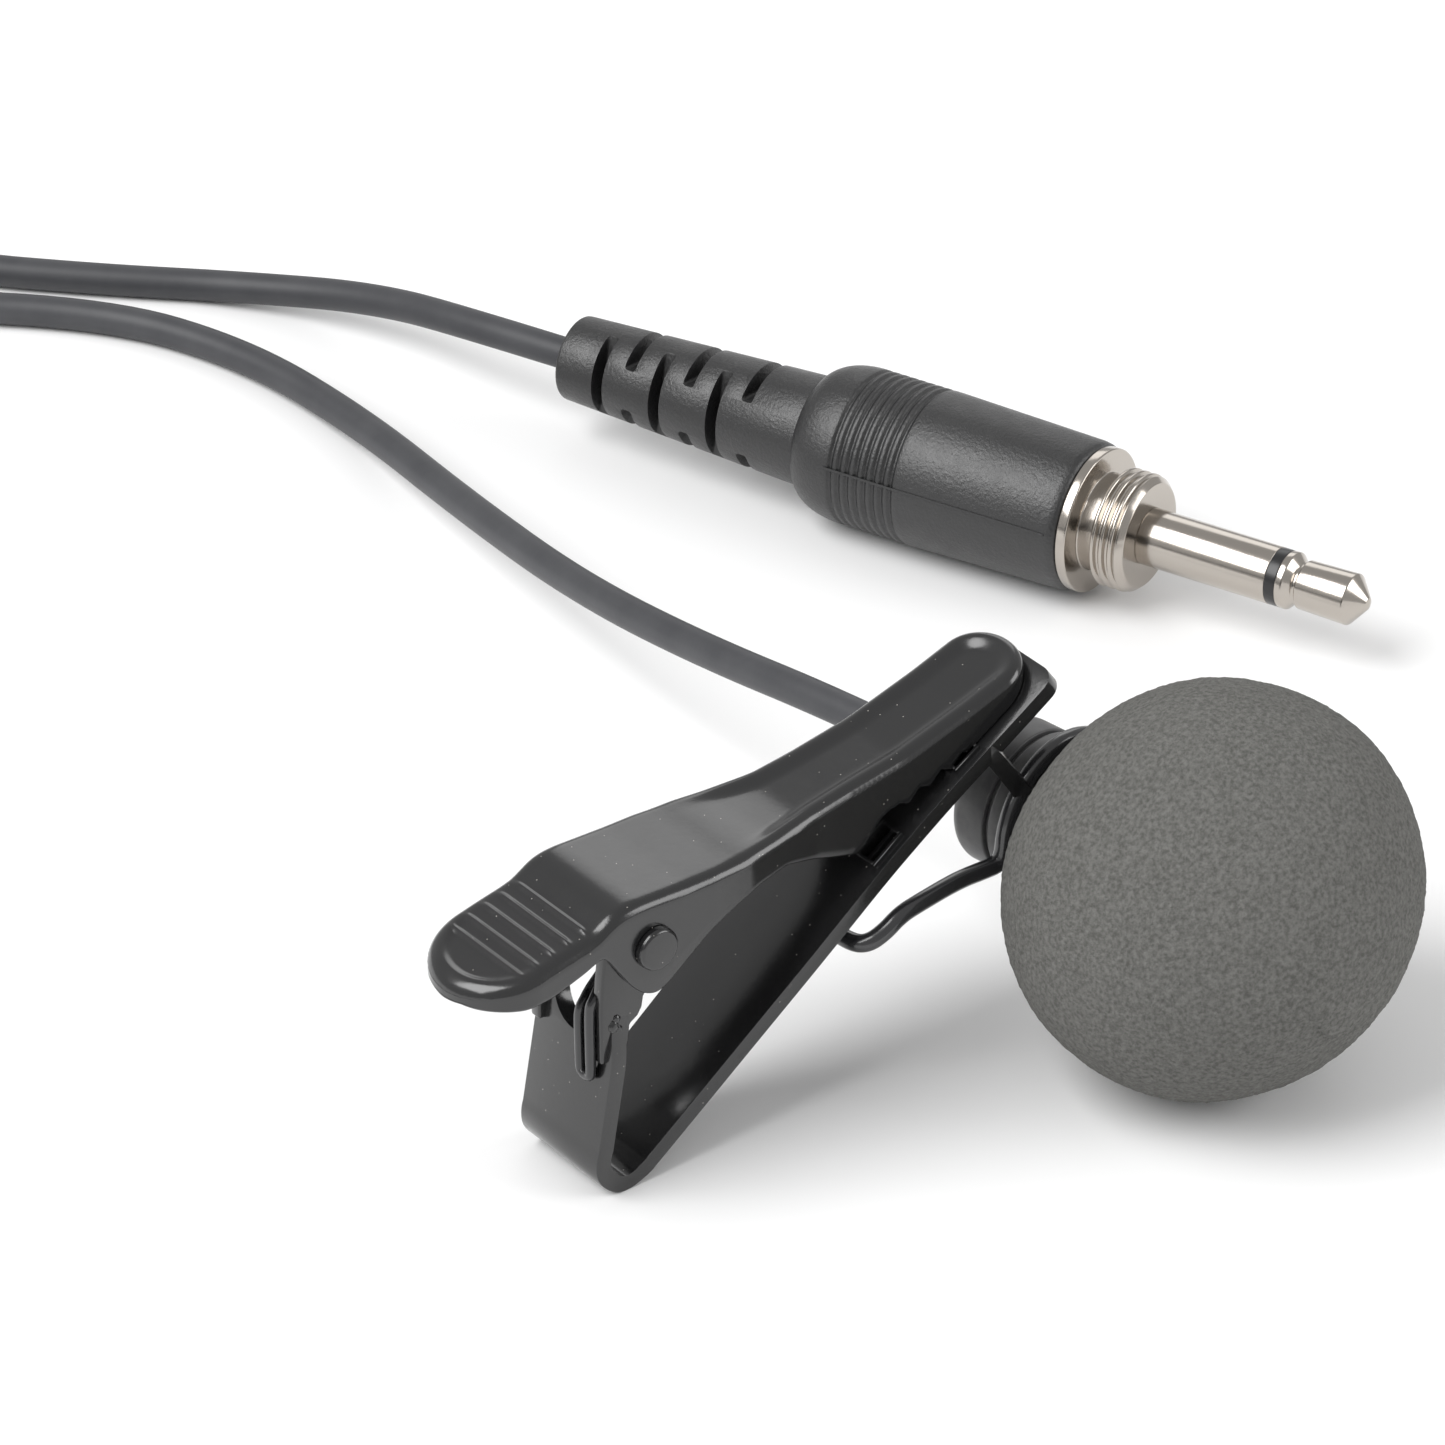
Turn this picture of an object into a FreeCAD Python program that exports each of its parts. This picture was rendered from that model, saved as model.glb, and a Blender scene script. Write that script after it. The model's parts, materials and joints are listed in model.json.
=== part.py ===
import FreeCAD, Part
import math
import os

from FreeCAD import Placement, Rotation, Vector

# Lavalier microphone on a spring clip, with its cord and 3.5 mm plug. Millimetres, +Z up.
# The origin is the middle of the footprint of the clip, microphone and foam, on the table.
# "Clip coordinates" start under the middle of the clip's bottom bend: x runs along the clip
# towards the jaw tip, y runs along the pivot pin and z is up.
SIZES = {
    # where the clip's own origin lies, and the two turned groups
    "clip_back": 18.2,
    "clip_aside": 10.33,
    "mic_x": 15.49,
    "mic_y": -3.22,
    "mic_z": 11.6,
    "mic_yaw": 9.2,
    "plug_x": 29.872,
    "plug_y": 74.077,
    "plug_z": 4.9,
    "plug_yaw": 20.6,
    # clip frame
    "strip_width": 7.3,
    "strip_thick": 1.1,
    "strip_length": 34.3,
    "strip_angle": 36.2,
    "riser_length": 8.3,
    "riser_angle": 80.2,
    "bend_radius": 2.62,
    "bend_ahead": 1.7,
    "ear_inner": 2.4,
    "ear_outer": 3.2,
    # pivot
    "pivot_x": 2.7,
    "pivot_z": 15.3,
    "pin_radius": 0.8,
    "pin_play": 0.04,
    "head_radius": 1.35,
    "head_proud": 0.45,
    # lever
    "lever_half": 4.0,
    "lever_wall": 0.6,
    "jaw_half": 2.75,
    "tip_round": 2.6,
    "thumb_round": 3.75,
    # springs and wire
    "spring_wire": 0.6,
    "spring_radius": 1.5,
    "spring_length": 3.1,
    "wire_radius": 0.52,
    "ring_radius": 4.76,
    "ring_along": -11.1,
    # microphone, along its own axis from the middle of the foam, front positive
    "barrel_radius": 4.3,
    "barrel_bore": 3.9,
    "barrel_rear": -12.75,
    "barrel_front": 1.0,
    "neck_radius": 4.05,
    "cap_rear": -15.6,
    "cap_front": -13.1,
    "bush_rear": -16.1,
    "bush_radius": 1.7,
    "seat_depth": 0.12,
    "capsule_radius": 3.0,
    "capsule_length": 2.7,
    "foam_radius": 11.6,
    "foam_mouth": 9.2,
    "foam_bore": 4.33,
    "foam_bore_end": 1.6,
    # plug, along its own axis from the cord end of the strain relief
    "plug_roll": 11.0,
    "relief_length": 17.5,
    "relief_rear": 2.65,
    "relief_front": 3.5,
    "body_length": 18.8,
    "dome_length": 2.9,
    "body_rear": 4.85,
    "body_front": 4.6,
    "body_bore": 3.1,
    "flange_radius": 4.45,
    "flange_length": 0.65,
    "collar_neck": 3.0,
    "collar_neck_length": 1.05,
    "thread_radius": 3.65,
    "thread_length": 2.25,
    "jack_radius": 1.75,
    "jack_shank": 1.35,
    "jack_bore": 1.05,
    "rod_radius": 0.6,
    "sleeve_length": 8.65,
    "insulator_length": 0.7,
    "tip_length": 5.5,
    # cord
    "cord_radius": 1.0,
    "coil_mean": 12.4,
    "coil_x": -6.45,
    "coil_y": 140.9,
    "coil_wide": 8.8,
    "coil_tall": 8.4,
    "coil_lift": 0.45,
}

doc = FreeCAD.newDocument("LavalierMicrophone")
sheet = doc.addObject("Spreadsheet::Sheet", "Sizes")
for row, (alias, value) in enumerate(SIZES.items(), start=1):
    sheet.set(f"A{row}", alias)
    sheet.set(f"B{row}", str(value))
    sheet.setAlias(f"B{row}", alias)
doc.recompute()

S = {alias: float(sheet.get(alias)) for alias in SIZES}
ACROSS = Vector(0, 1, 0)
UP = Vector(0, 0, 1)
nodes = []

mic_turn = math.radians(S["mic_yaw"])
mic_axis = Vector(math.sin(mic_turn), -math.cos(mic_turn), 0)
mic_centre = Vector(S["mic_x"], S["mic_y"], S["mic_z"])
plug_turn = math.radians(S["plug_yaw"])
plug_axis = Vector(math.sin(plug_turn), -math.cos(plug_turn), 0)
plug_start = Vector(S["plug_x"], S["plug_y"], S["plug_z"])


def on_clip(obj):
    """Stand a node on the clip's own origin."""
    obj.setExpression("Placement.Base.x", "-Sizes.clip_back")
    obj.setExpression("Placement.Base.y", "Sizes.clip_aside")


def on_axis(obj, group, axis, start="0"):
    """Lay a node drawn along z on the microphone's or the plug's axis."""
    obj.Placement = Placement(Vector(), Rotation(UP.cross(axis), UP, axis, "ZYX"))
    for letter, share in zip("xyz", axis):
        along = f"{share:.9f} * ({start})"
        obj.setExpression(f"Placement.Base.{letter}", f"Sizes.{group}_{letter} + {along}")


def on_mic(obj):
    on_axis(obj, "mic", mic_axis)


def on_plug(obj):
    on_axis(obj, "plug", plug_axis)


def in_frame(obj):
    """A node that is drawn straight in the object's frame."""
    obj.Placement = Placement()


def keep(label, obj, stand):
    """Name a finished sub-part and put it in its place."""
    obj.Label = label
    stand(obj)
    nodes.append(obj)
    return obj


def solid(label, shape, stand):
    obj = doc.addObject("Part::Feature", label)
    obj.Shape = shape
    return keep(label, obj, stand)


def cylinder(name, radius, start, end):
    """A cylinder on the local z axis; each argument is an expression."""
    obj = doc.addObject("Part::Cylinder", name)
    obj.setExpression("Radius", radius)
    obj.setExpression("Height", f"({end}) - ({start})")
    obj.setExpression("Placement.Base.z", start)
    return obj


def cone(name, rear, front, start, end):
    obj = doc.addObject("Part::Cone", name)
    obj.setExpression("Radius1", rear)
    obj.setExpression("Radius2", front)
    obj.setExpression("Height", f"({end}) - ({start})")
    obj.setExpression("Placement.Base.z", start)
    return obj


def mic_disc(label, radius, start, end):
    """A whole sub-part of the microphone that is one cylinder."""
    disc = cylinder(label, radius, start, end)
    return keep(label, disc, lambda obj: on_axis(obj, "mic", mic_axis, start))


def fuse(name, *members):
    obj = doc.addObject("Part::MultiFuse", name)
    obj.Shapes = list(members)
    return obj


def cut(name, base, tool):
    obj = doc.addObject("Part::Cut", name)
    obj.Base = base
    obj.Tool = tool
    return obj


def ring(name, outer, inner, start, end):
    """A plain tube on the local z axis."""
    over = 0.2
    body = cylinder(name + "_outer", outer, start, end)
    bore = cylinder(name + "_bore", inner, f"({start}) - {over}", f"({end}) + {over}")
    return cut(name, body, bore)


def plate(outline, low, high):
    """A flat plate with an (x, z) outline, between two values of y."""
    points = [Vector(x, low, z) for x, z in outline]
    face = Part.Face(Part.makePolygon(points + points[:1]))
    return face.extrude(ACROSS * (high - low))


def routed(points, radius, share=0.45, bend=None):
    """A round rod along straight runs joined by tangent arcs; also its bend radii and length."""
    edges = []
    radii = []
    start = points[0]
    for before, corner, after in zip(points, points[1:], points[2:]):
        back = (before - corner).normalize()
        ahead = (after - corner).normalize()
        half_turn = (math.pi - back.getAngle(ahead)) / 2
        shorter = min(before.distanceToPoint(corner), after.distanceToPoint(corner))
        arc_radius = bend or share * shorter / math.tan(half_turn)
        reach = arc_radius * math.tan(half_turn)
        inward = (back + ahead).normalize()
        middle = corner + inward * (arc_radius / math.cos(half_turn) - arc_radius)
        enter = corner + back * reach
        leave = corner + ahead * reach
        edges.append(Part.LineSegment(start, enter).toShape())
        edges.append(Part.Arc(enter, middle, leave).toShape())
        radii.append(arc_radius)
        start = leave
    edges.append(Part.LineSegment(start, points[-1]).toShape())
    path = Part.Wire(edges)
    first = points[1] - points[0]
    section = Part.Wire(Part.Circle(points[0], first, radius).toShape())
    rod = path.makePipeShell([section], True, False)
    return rod, radii, path.Length


def rod_between(start, end, radius):
    return Part.makeCylinder(radius, start.distanceToPoint(end), start, end - start)


# ---- Clip frame: riser, bottom bend and lower jaw strip are one bent sheet ----
def along(angle, distance, offset=0.0):
    """(x, z) from the bend's centre: so far along a leg, so far out on its outer side."""
    lean = math.radians(angle)
    side = 1 if angle == S["strip_angle"] else -1
    x = S["bend_ahead"] + distance * math.cos(lean) + side * offset * math.sin(lean)
    z = S["bend_radius"] + distance * math.sin(lean) - side * offset * math.cos(lean)
    return x, z


def leg(angle, length, half):
    """One flat leg of the bent sheet, from the bend outwards."""
    outer = S["bend_radius"]
    inner = outer - S["strip_thick"]
    outline = [along(angle, 0, outer), along(angle, length, outer),
               along(angle, length, inner), along(angle, 0, inner)]
    return plate(outline, -half, half)


def bottom_bend(half):
    """The round bend between the two legs."""
    outer = S["bend_radius"]
    inner = outer - S["strip_thick"]
    angles = (S["riser_angle"], S["strip_angle"])
    ends = [Vector(along(angle, 0, r)[0], -half, along(angle, 0, r)[1])
            for angle in angles for r in (outer, inner)]
    middle = math.radians((S["riser_angle"] + S["strip_angle"]) / 2 + 180)
    mids = [Vector(S["bend_ahead"] + r * math.cos(middle), -half,
                   S["bend_radius"] + r * math.sin(middle)) for r in (outer, inner)]
    edges = [Part.Arc(ends[0], mids[0], ends[2]).toShape(),
             Part.LineSegment(ends[2], ends[3]).toShape(),
             Part.Arc(ends[3], mids[1], ends[1]).toShape(),
             Part.LineSegment(ends[1], ends[0]).toShape()]
    return Part.Face(Part.Wire(edges)).extrude(ACROSS * (2 * half))


def strip_block(start, length, low, high, top, bottom):
    """A block square to the strip: along it, across it, and from its top face downwards."""
    surface = S["bend_radius"] - S["strip_thick"]
    outline = [along(S["strip_angle"], start, surface + top),
               along(S["strip_angle"], start + length, surface + top),
               along(S["strip_angle"], start + length, surface + bottom),
               along(S["strip_angle"], start, surface + bottom)]
    return plate(outline, low, high)


def clip_frame():
    half = S["strip_width"] / 2
    sheet_metal = leg(S["strip_angle"], S["strip_length"], half)
    sheet_metal = sheet_metal.fuse([bottom_bend(half), leg(S["riser_angle"], S["riser_length"], half)])
    sheet_metal = sheet_metal.removeSplitter()
    # rounded corners at the tip of the strip
    tip = Vector(along(S["strip_angle"], S["strip_length"])[0], 0, 0)
    corners = [edge for edge in sheet_metal.Edges
               if edge.BoundBox.XMin > tip.x - 2.0 and edge.BoundBox.YLength < 0.01
               and abs(edge.Length - S["strip_thick"]) < 0.01]
    sheet_metal = sheet_metal.makeFillet(1.0, corners)
    # arched cut-out between the two ears
    arch_radius = 2.0
    arch = Part.makeCylinder(arch_radius, 6, Vector(-3, 0, 11.0), Vector(1, 0, 0))
    sheet_metal = sheet_metal.cut(arch)
    ear = [(-0.05, 8.6), (1.2, 8.6), (1.45, 10.7), (2.6, 11.3), (4.1, 13.4), (4.7, 15.3),
           (4.1, 16.8), (2.7, 17.3), (1.3, 16.8), (0.75, 15.0), (0.35, 10.8)]
    for side in (-1, 1):
        low, high = sorted((side * S["ear_inner"], side * S["ear_outer"]))
        sheet_metal = sheet_metal.fuse(plate(ear, low, high))
    # two lanced windows, with the loop that is pushed down out of the rear one
    sheet_metal = sheet_metal.cut(strip_block(20.6, 0.8, -2.5, -0.9, -1, 2))
    sheet_metal = sheet_metal.cut(strip_block(22.0, 0.8, -2.5, -0.9, -1, 2))
    sheet_metal = sheet_metal.cut(strip_block(27.2, 1.4, -2.9, -1.9, -1, 2))
    loop = strip_block(18.9, 2.0, -2.5, -1.1, 1.0, 2.35)
    loop = loop.cut(strip_block(19.3, 1.2, -2.6, -1.0, 0.9, 1.9))
    # the lug that reaches down in front of the wire ring
    lug_top = Vector(26.3, -3.55, 18.1)
    lug_end = Vector(28.0, -3.3, 15.4)
    lug = Part.makeBox(0.95, 0.5, lug_top.distanceToPoint(lug_end), Vector(-0.475, -0.25, 0))
    down = (lug_end - lug_top).normalize()
    lug.Placement = Placement(lug_top, Rotation(Vector(1, 0, 0), ACROSS, down, "ZXY"))
    pin_hole = Part.makeCylinder(S["pin_radius"], S["strip_width"],
                                 Vector(S["pivot_x"], -S["strip_width"] / 2, S["pivot_z"]), ACROSS)
    return sheet_metal.fuse([loop, lug]).cut(pin_hole).removeSplitter()


# ---- Lever: a pressed channel, thumb pad behind the pin and jaw in front ----
LEVER_TOP = [(-8.9, 15.0), (-8.3, 15.6), (-5.5, 16.1), (-1.3, 17.1), (-0.1, 17.9), (1.6, 18.25),
             (5.0, 18.2), (8.2, 18.2), (11.4, 18.3), (16.2, 18.9), (20.8, 19.7), (25.4, 21.0),
             (28.6, 22.05), (30.2, 22.5)]
LEVER_EDGE = [(17.6, 14.8), (15.3, 15.4), (12.6, 16.2), (9.9, 16.1), (7.9, 15.4), (5.3, 13.85),
              (3.7, 12.7), (3.0, 12.25), (2.2, 12.4), (1.4, 13.05), (0.9, 13.75), (0.1, 14.95),
              (-0.75, 15.85), (-1.9, 15.35), (-3.9, 14.75), (-5.7, 14.5), (-7.9, 14.5)]
JAW_GAP = 0.05


def plan(inset):
    """The lever's outline from above, drawn in by the wall thickness where asked."""
    wide = S["lever_half"] - inset
    narrow = S["jaw_half"] - inset
    thumb_end = LEVER_TOP[0][0] + inset
    jaw_end = LEVER_TOP[-1][0] - inset
    thumb_round = S["thumb_round"] - inset
    tip_round = S["tip_round"] - inset
    steps = 8
    half = []
    for step in range(steps + 1):
        turn = math.pi / 2 * step / steps
        half.append((thumb_end + thumb_round * (1 - math.cos(turn)), wide * math.sin(turn)))
    half += [(7.0, wide), (9.5, wide * 0.95), (12.0, narrow * 1.22), (14.5, narrow * 1.04), (17.0, narrow)]
    for step in range(steps + 1):
        turn = math.pi / 2 * step / steps
        half.append((jaw_end - tip_round * (1 - math.sin(turn)), narrow * math.cos(turn)))
    other = [(x, -y) for x, y in reversed(half[1:-1])]
    points = [Vector(x, y, 0) for x, y in half + other]
    return Part.Face(Part.makePolygon(points + points[:1])).extrude(UP * 40)


def clip_lever():
    wide = S["lever_half"] + 1
    jaw_line = [along(S["strip_angle"], distance, S["bend_radius"] - S["strip_thick"] - JAW_GAP)
                for distance in (34.6, 20.4)]
    outer = plate(LEVER_TOP + jaw_line + LEVER_EDGE, -wide, wide)
    lowered = [(x, z - S["lever_wall"]) for x, z in LEVER_TOP]
    inner = plate(lowered + [(31, 0), (-9, 0)], -wide, wide)
    shell = outer.common(plan(0)).cut(inner.common(plan(S["lever_wall"])))
    hole = Part.makeCylinder(S["pin_radius"] + S["pin_play"], 2 * wide,
                             Vector(S["pivot_x"], -wide, S["pivot_z"]), ACROSS)
    return shell.cut(hole)


# ---- Pivot rivet ----
def pivot_rivet():
    reach = S["lever_half"] + S["pin_play"]
    shaft = Part.makeCylinder(S["pin_radius"], 2 * reach, Vector(0, -reach, 0), ACROSS)
    dome = (S["head_radius"] ** 2 + S["head_proud"] ** 2) / (2 * S["head_proud"])
    for side in (-1, 1):
        ball = Part.makeSphere(dome, Vector(0, side * (reach + S["head_proud"] - dome), 0))
        low = reach if side > 0 else -reach - S["head_proud"] - 1
        slab = Part.makeBox(6, S["head_proud"] + 1, 6, Vector(-3, low, -3))
        shaft = shaft.fuse(ball.common(slab))
    shaft.translate(Vector(S["pivot_x"], 0, S["pivot_z"]))
    return shaft.removeSplitter()


# ---- Torsion spring: coil round the pin, one leg under the thumb pad, a hairpin on the riser ----
def torsion_spring():
    wire = S["spring_wire"] / 2
    mean = S["spring_radius"]
    near = -2.3
    centre = Vector(S["pivot_x"], near, S["pivot_z"])
    coil = Part.makeCylinder(mean + wire, S["spring_length"], centre, ACROSS)
    coil = coil.cut(Part.makeCylinder(mean - wire, S["spring_length"], centre, ACROSS))
    legs = []
    leg_radius = 0.9 * wire
    for y in (near + wire, near + 3.4 * wire):
        hairpin = [Vector(S["pivot_x"] - mean, y, S["pivot_z"]), Vector(0.0, y, 10.9),
                   Vector(-0.56, y, 7.0)]
        legs.append(routed(hairpin, leg_radius, bend=3.0)[0])
    far = near + S["spring_length"] - wire
    over = Vector(S["pivot_x"], far, S["pivot_z"] + mean)
    legs.append(rod_between(over, Vector(-3.6, far, 15.62), leg_radius))
    return coil.fuse(legs)


# ---- Wire holder: held under the strip, forward beside it, then a ring round the microphone ----
def wire_holder():
    """Drawn in the object's frame, because its ring stands square to the microphone."""
    wire = S["wire_radius"]
    shift = Vector(-S["clip_back"], S["clip_aside"], 0)
    level = Vector(mic_axis.y, -mic_axis.x, 0) * -1
    ring_centre = mic_centre + mic_axis * S["ring_along"]
    radius = S["ring_radius"]

    def on_ring(angle):
        turn = math.radians(angle)
        return ring_centre + level * (radius * math.cos(turn)) + UP * (radius * math.sin(turn))

    join = on_ring(180)
    clip_points = [Vector(16.9, 2.2, 9.3), Vector(16.9, -3.9, 9.3), Vector(20.2, -3.95, 10.9),
                   Vector(join.x + S["clip_back"], join.y - S["clip_aside"], 10.75)]
    points = [point + shift for point in clip_points] + [join]
    leg_rod = routed(points, wire, bend=0.75)[0]
    arc = Part.Arc(join, on_ring(15), on_ring(-150)).toShape()
    section = Part.Wire(Part.Circle(join, UP, wire).toShape())
    ring_rod = Part.Wire(arc).makePipeShell([section], True, False)
    return leg_rod.fuse(ring_rod)


solid("clip_frame", clip_frame(), on_clip)
solid("clip_lever", clip_lever(), on_clip)
solid("pivot_rivet", pivot_rivet(), on_clip)
solid("torsion_spring", torsion_spring(), on_clip)
solid("wire_holder", wire_holder(), in_frame)

# ---- Microphone, from the rear cap to the front grille ----
M = "Sizes."
barrel = fuse("barrel_solid",
              cylinder("barrel_skin", M + "barrel_radius", M + "barrel_rear", M + "barrel_front"),
              cylinder("barrel_neck", M + "neck_radius", M + "cap_front", M + "barrel_rear"))
seat = ring("ring_seat", M + "barrel_radius + 1", M + "barrel_radius - Sizes.seat_depth",
            M + "ring_along - 0.6", M + "ring_along + 0.6")
barrel_bore = cylinder("barrel_room", M + "barrel_bore", M + "cap_front + 0.6", M + "barrel_front + 1")
barrel_drill = cylinder("barrel_drill", "1.2", M + "cap_front - 1", M + "cap_front + 1")
keep("mic_barrel", cut("mic_barrel", barrel, fuse("barrel_cuts", seat, barrel_bore, barrel_drill)), on_mic)

cap = fuse("cap_solid",
           cylinder("cap_skin", M + "barrel_radius", M + "cap_rear + 0.4", M + "cap_front"),
           cone("cap_chamfer", M + "barrel_radius - 0.4", M + "barrel_radius",
                M + "cap_rear", M + "cap_rear + 0.4"))
cap_room = cylinder("cap_room", M + "neck_radius - 0.6", M + "cap_rear + 0.8", M + "cap_front + 1")
cap_hole = cylinder("cap_hole", M + "bush_radius", M + "cap_rear - 1", M + "cap_front")
keep("mic_rear_cap", cut("mic_rear_cap", cap, fuse("cap_cuts", cap_room, cap_hole)), on_mic)
mic_disc("cord_bush", M + "bush_radius", M + "bush_rear", M + "cap_rear + 1.6")


def mic_grille():
    """A disc with a hole in the middle, a ring of six and a ring of twelve."""
    hole = 0.4
    disc = Part.makeCylinder(S["barrel_bore"], 0.4, Vector(0, 0, 0.5))
    holes = [Vector(0, 0, 0)]
    for count, reach in ((6, 1.4), (12, 2.75)):
        for index in range(count):
            turn = 2 * math.pi * index / count
            holes.append(Vector(reach * math.cos(turn), reach * math.sin(turn), 0))
    return disc.cut([Part.makeCylinder(hole, 2, place) for place in holes])


solid("mic_grille", mic_grille(), on_mic)
mic_disc("dust_felt", M + "barrel_bore - 0.05", "0.1", "0.5")
mic_disc("capsule_can", M + "capsule_radius", "0.1 - Sizes.capsule_length", "0.1")
keep("capsule_boot", ring("capsule_boot", M + "barrel_bore", M + "capsule_radius",
                          "0.1 - Sizes.capsule_length", "0.1"), on_mic)
mic_disc("capsule_board", M + "capsule_radius - 0.2", "-3.0", "-2.6")
keep("capsule_spacer", ring("capsule_spacer", M + "barrel_bore", M + "barrel_bore - 0.6",
                            "-6.6", "-2.6"), on_mic)


def capsule_lead(side):
    """An insulated lead from the little board back to the rear cap."""
    points = [Vector(side * 1.6, 0, -3.05), Vector(side * 1.7, 0.3, -6.5),
              Vector(side * 0.6, 0.2, -9.5), Vector(side * 0.45, 0, -13.95)]
    return routed(points, 0.3, bend=1.5)[0]


solid("capsule_lead_live", capsule_lead(1), on_mic)
solid("capsule_lead_ground", capsule_lead(-1), on_mic)

# ---- Foam windscreen: a ball with a flat mouth and a blind bore ----
foam_ball = doc.addObject("Part::Sphere", "foam_ball")
foam_ball.setExpression("Radius", M + "foam_radius")
foam_trim = cylinder("foam_trim", M + "foam_radius + 1", "-Sizes.foam_radius - 2", "-Sizes.foam_mouth")
foam_bore = cylinder("foam_hollow", M + "foam_bore", "-Sizes.foam_radius - 1", M + "foam_bore_end")
keep("foam_windscreen", cut("foam_windscreen", foam_ball, fuse("foam_cuts", foam_trim, foam_bore)), on_mic)


# ---- Plug, from the strain relief to the tip ----
def plug_relief():
    """A tapered sleeve, slotted left and right and then top and bottom, turn by turn."""
    length = S["relief_length"]
    sleeve = Part.makeCone(S["relief_rear"], S["relief_front"], length)
    slot = 0.8
    depth = 1.5
    for pair in range(3):
        for index, tilt in ((0, 0), (1, 90)):
            start = 2.75 + 4.2 * pair + 2.1 * index
            radius = S["relief_rear"] + (S["relief_front"] - S["relief_rear"]) * start / length
            for side in (-1, 1):
                box = Part.makeBox(3, 8, slot, Vector(0, -4, 0))
                box.translate(Vector(radius - depth, 0, start))
                if side < 0:
                    box.rotate(Vector(), UP, 180)
                box.rotate(Vector(), UP, tilt - S["plug_roll"])
                sleeve = sleeve.cut(box)
    return sleeve


def plug_body():
    """A slim moulding with a domed shoulder and a band of fine grip grooves behind its middle."""
    start = S["relief_length"]
    end = start + S["body_length"]
    rear = S["body_rear"]
    dome = S["dome_length"]
    neck = S["relief_front"]
    bore = S["body_bore"]
    arc = Part.Arc(Vector(neck, 0, start),
                   Vector(neck + (rear - neck) * 0.72, 0, start + dome * 0.32),
                   Vector(rear, 0, start + dome)).toShape()
    corners = [Vector(rear, 0, start + dome), Vector(S["body_front"], 0, end - 0.3),
               Vector(S["body_front"] - 0.3, 0, end), Vector(bore, 0, end), Vector(bore, 0, start + 1.0),
               Vector(1.2, 0, start + 1.0), Vector(1.2, 0, start), Vector(neck, 0, start)]
    lines = [Part.LineSegment(a, b).toShape() for a, b in zip(corners, corners[1:])]
    turned = Part.Face(Part.Wire([arc] + lines)).revolve(Vector(), UP, 360)
    groove_count = 8
    pitch = 0.6
    for index in range(groove_count):
        middle = start + dome + 0.5 + pitch * index
        groove = Part.makeTorus(rear + 0.12, 0.22, Vector(0, 0, middle))
        turned = turned.cut(groove)
    return turned


solid("plug_relief", plug_relief(), on_plug)
solid("plug_body", plug_body(), on_plug)

COLLAR = "(Sizes.relief_length + Sizes.body_length)"
NECK = COLLAR + " + Sizes.flange_length"
THREAD = NECK + " + Sizes.collar_neck_length"
FACE = THREAD + " + Sizes.thread_length"
collar_parts = [
    cylinder("collar_flange", M + "flange_radius", COLLAR, NECK),
    cylinder("collar_neck", M + "collar_neck", NECK, THREAD),
    cylinder("collar_core", M + "thread_radius - 0.3", THREAD, FACE + " - 0.5"),
    cone("collar_chamfer", M + "thread_radius - 0.3", M + "thread_radius - 0.75", FACE + " - 0.5", FACE),
]
for index in range(3):
    low = f"{THREAD} + {0.1 + 0.6 * index:.1f}"
    collar_parts.append(cylinder(f"collar_ridge_{index}", M + "thread_radius", low, low + " + 0.35"))
collar_bore = cylinder("collar_hole", M + "jack_shank", COLLAR + " - 1", FACE + " + 1")
keep("plug_collar", cut("plug_collar", fuse("collar_solid", *collar_parts), collar_bore), on_plug)

SLEEVE_END = FACE + " + Sizes.sleeve_length"
sleeve = fuse("sleeve_solid",
              cylinder("sleeve_shank", M + "jack_shank", COLLAR + " - 2", FACE),
              cylinder("sleeve_skin", M + "jack_radius", FACE, SLEEVE_END))
sleeve_bore = cylinder("sleeve_bore", M + "jack_bore", COLLAR + " - 3", SLEEVE_END + " + 1")
keep("jack_sleeve", cut("jack_sleeve", sleeve, sleeve_bore), on_plug)
insulator = fuse("insulator_solid",
                 cylinder("insulator_tube", M + "jack_bore", COLLAR + " - 2.6", SLEEVE_END),
                 cylinder("insulator_face", M + "jack_radius", SLEEVE_END,
                          SLEEVE_END + " + Sizes.insulator_length"))
insulator_bore = cylinder("insulator_bore", M + "rod_radius", COLLAR + " - 4",
                          SLEEVE_END + " + Sizes.insulator_length + 1")
keep("jack_insulator", cut("jack_insulator", insulator, insulator_bore), on_plug)


def jack_tip():
    """The tip contact and the rod behind it that runs back through the sleeve."""
    collar = S["relief_length"] + S["body_length"]
    face = collar + S["flange_length"] + S["collar_neck_length"] + S["thread_length"]
    start = face + S["sleeve_length"] + S["insulator_length"]
    end = start + S["tip_length"]
    full = S["jack_radius"]
    rod = S["rod_radius"]
    neck = full - 0.42
    profile = [(0, collar - 3.6), (rod, collar - 3.6), (rod, start), (full, start), (full, start + 0.4),
               (neck, start + 0.9), (neck, start + 1.1), (full - 0.25, start + 1.2),
               (full - 0.17, end - 1.1), (0.3, end), (0, end)]
    points = [Vector(r, 0, z) for r, z in profile]
    return Part.Face(Part.makePolygon(points + points[:1])).revolve(Vector(), UP, 360)


solid("jack_tip", jack_tip(), on_plug)
keep("rear_insulator", ring("rear_insulator", M + "body_bore", M + "rod_radius",
                            COLLAR + " - 3.4", COLLAR + " - 2.6"), on_plug)


def tag(width, start, length, offset):
    """A flat solder tag beside the axis of the plug."""
    return Part.makeBox(width, 0.3, length, Vector(-width / 2, offset, start))


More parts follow.
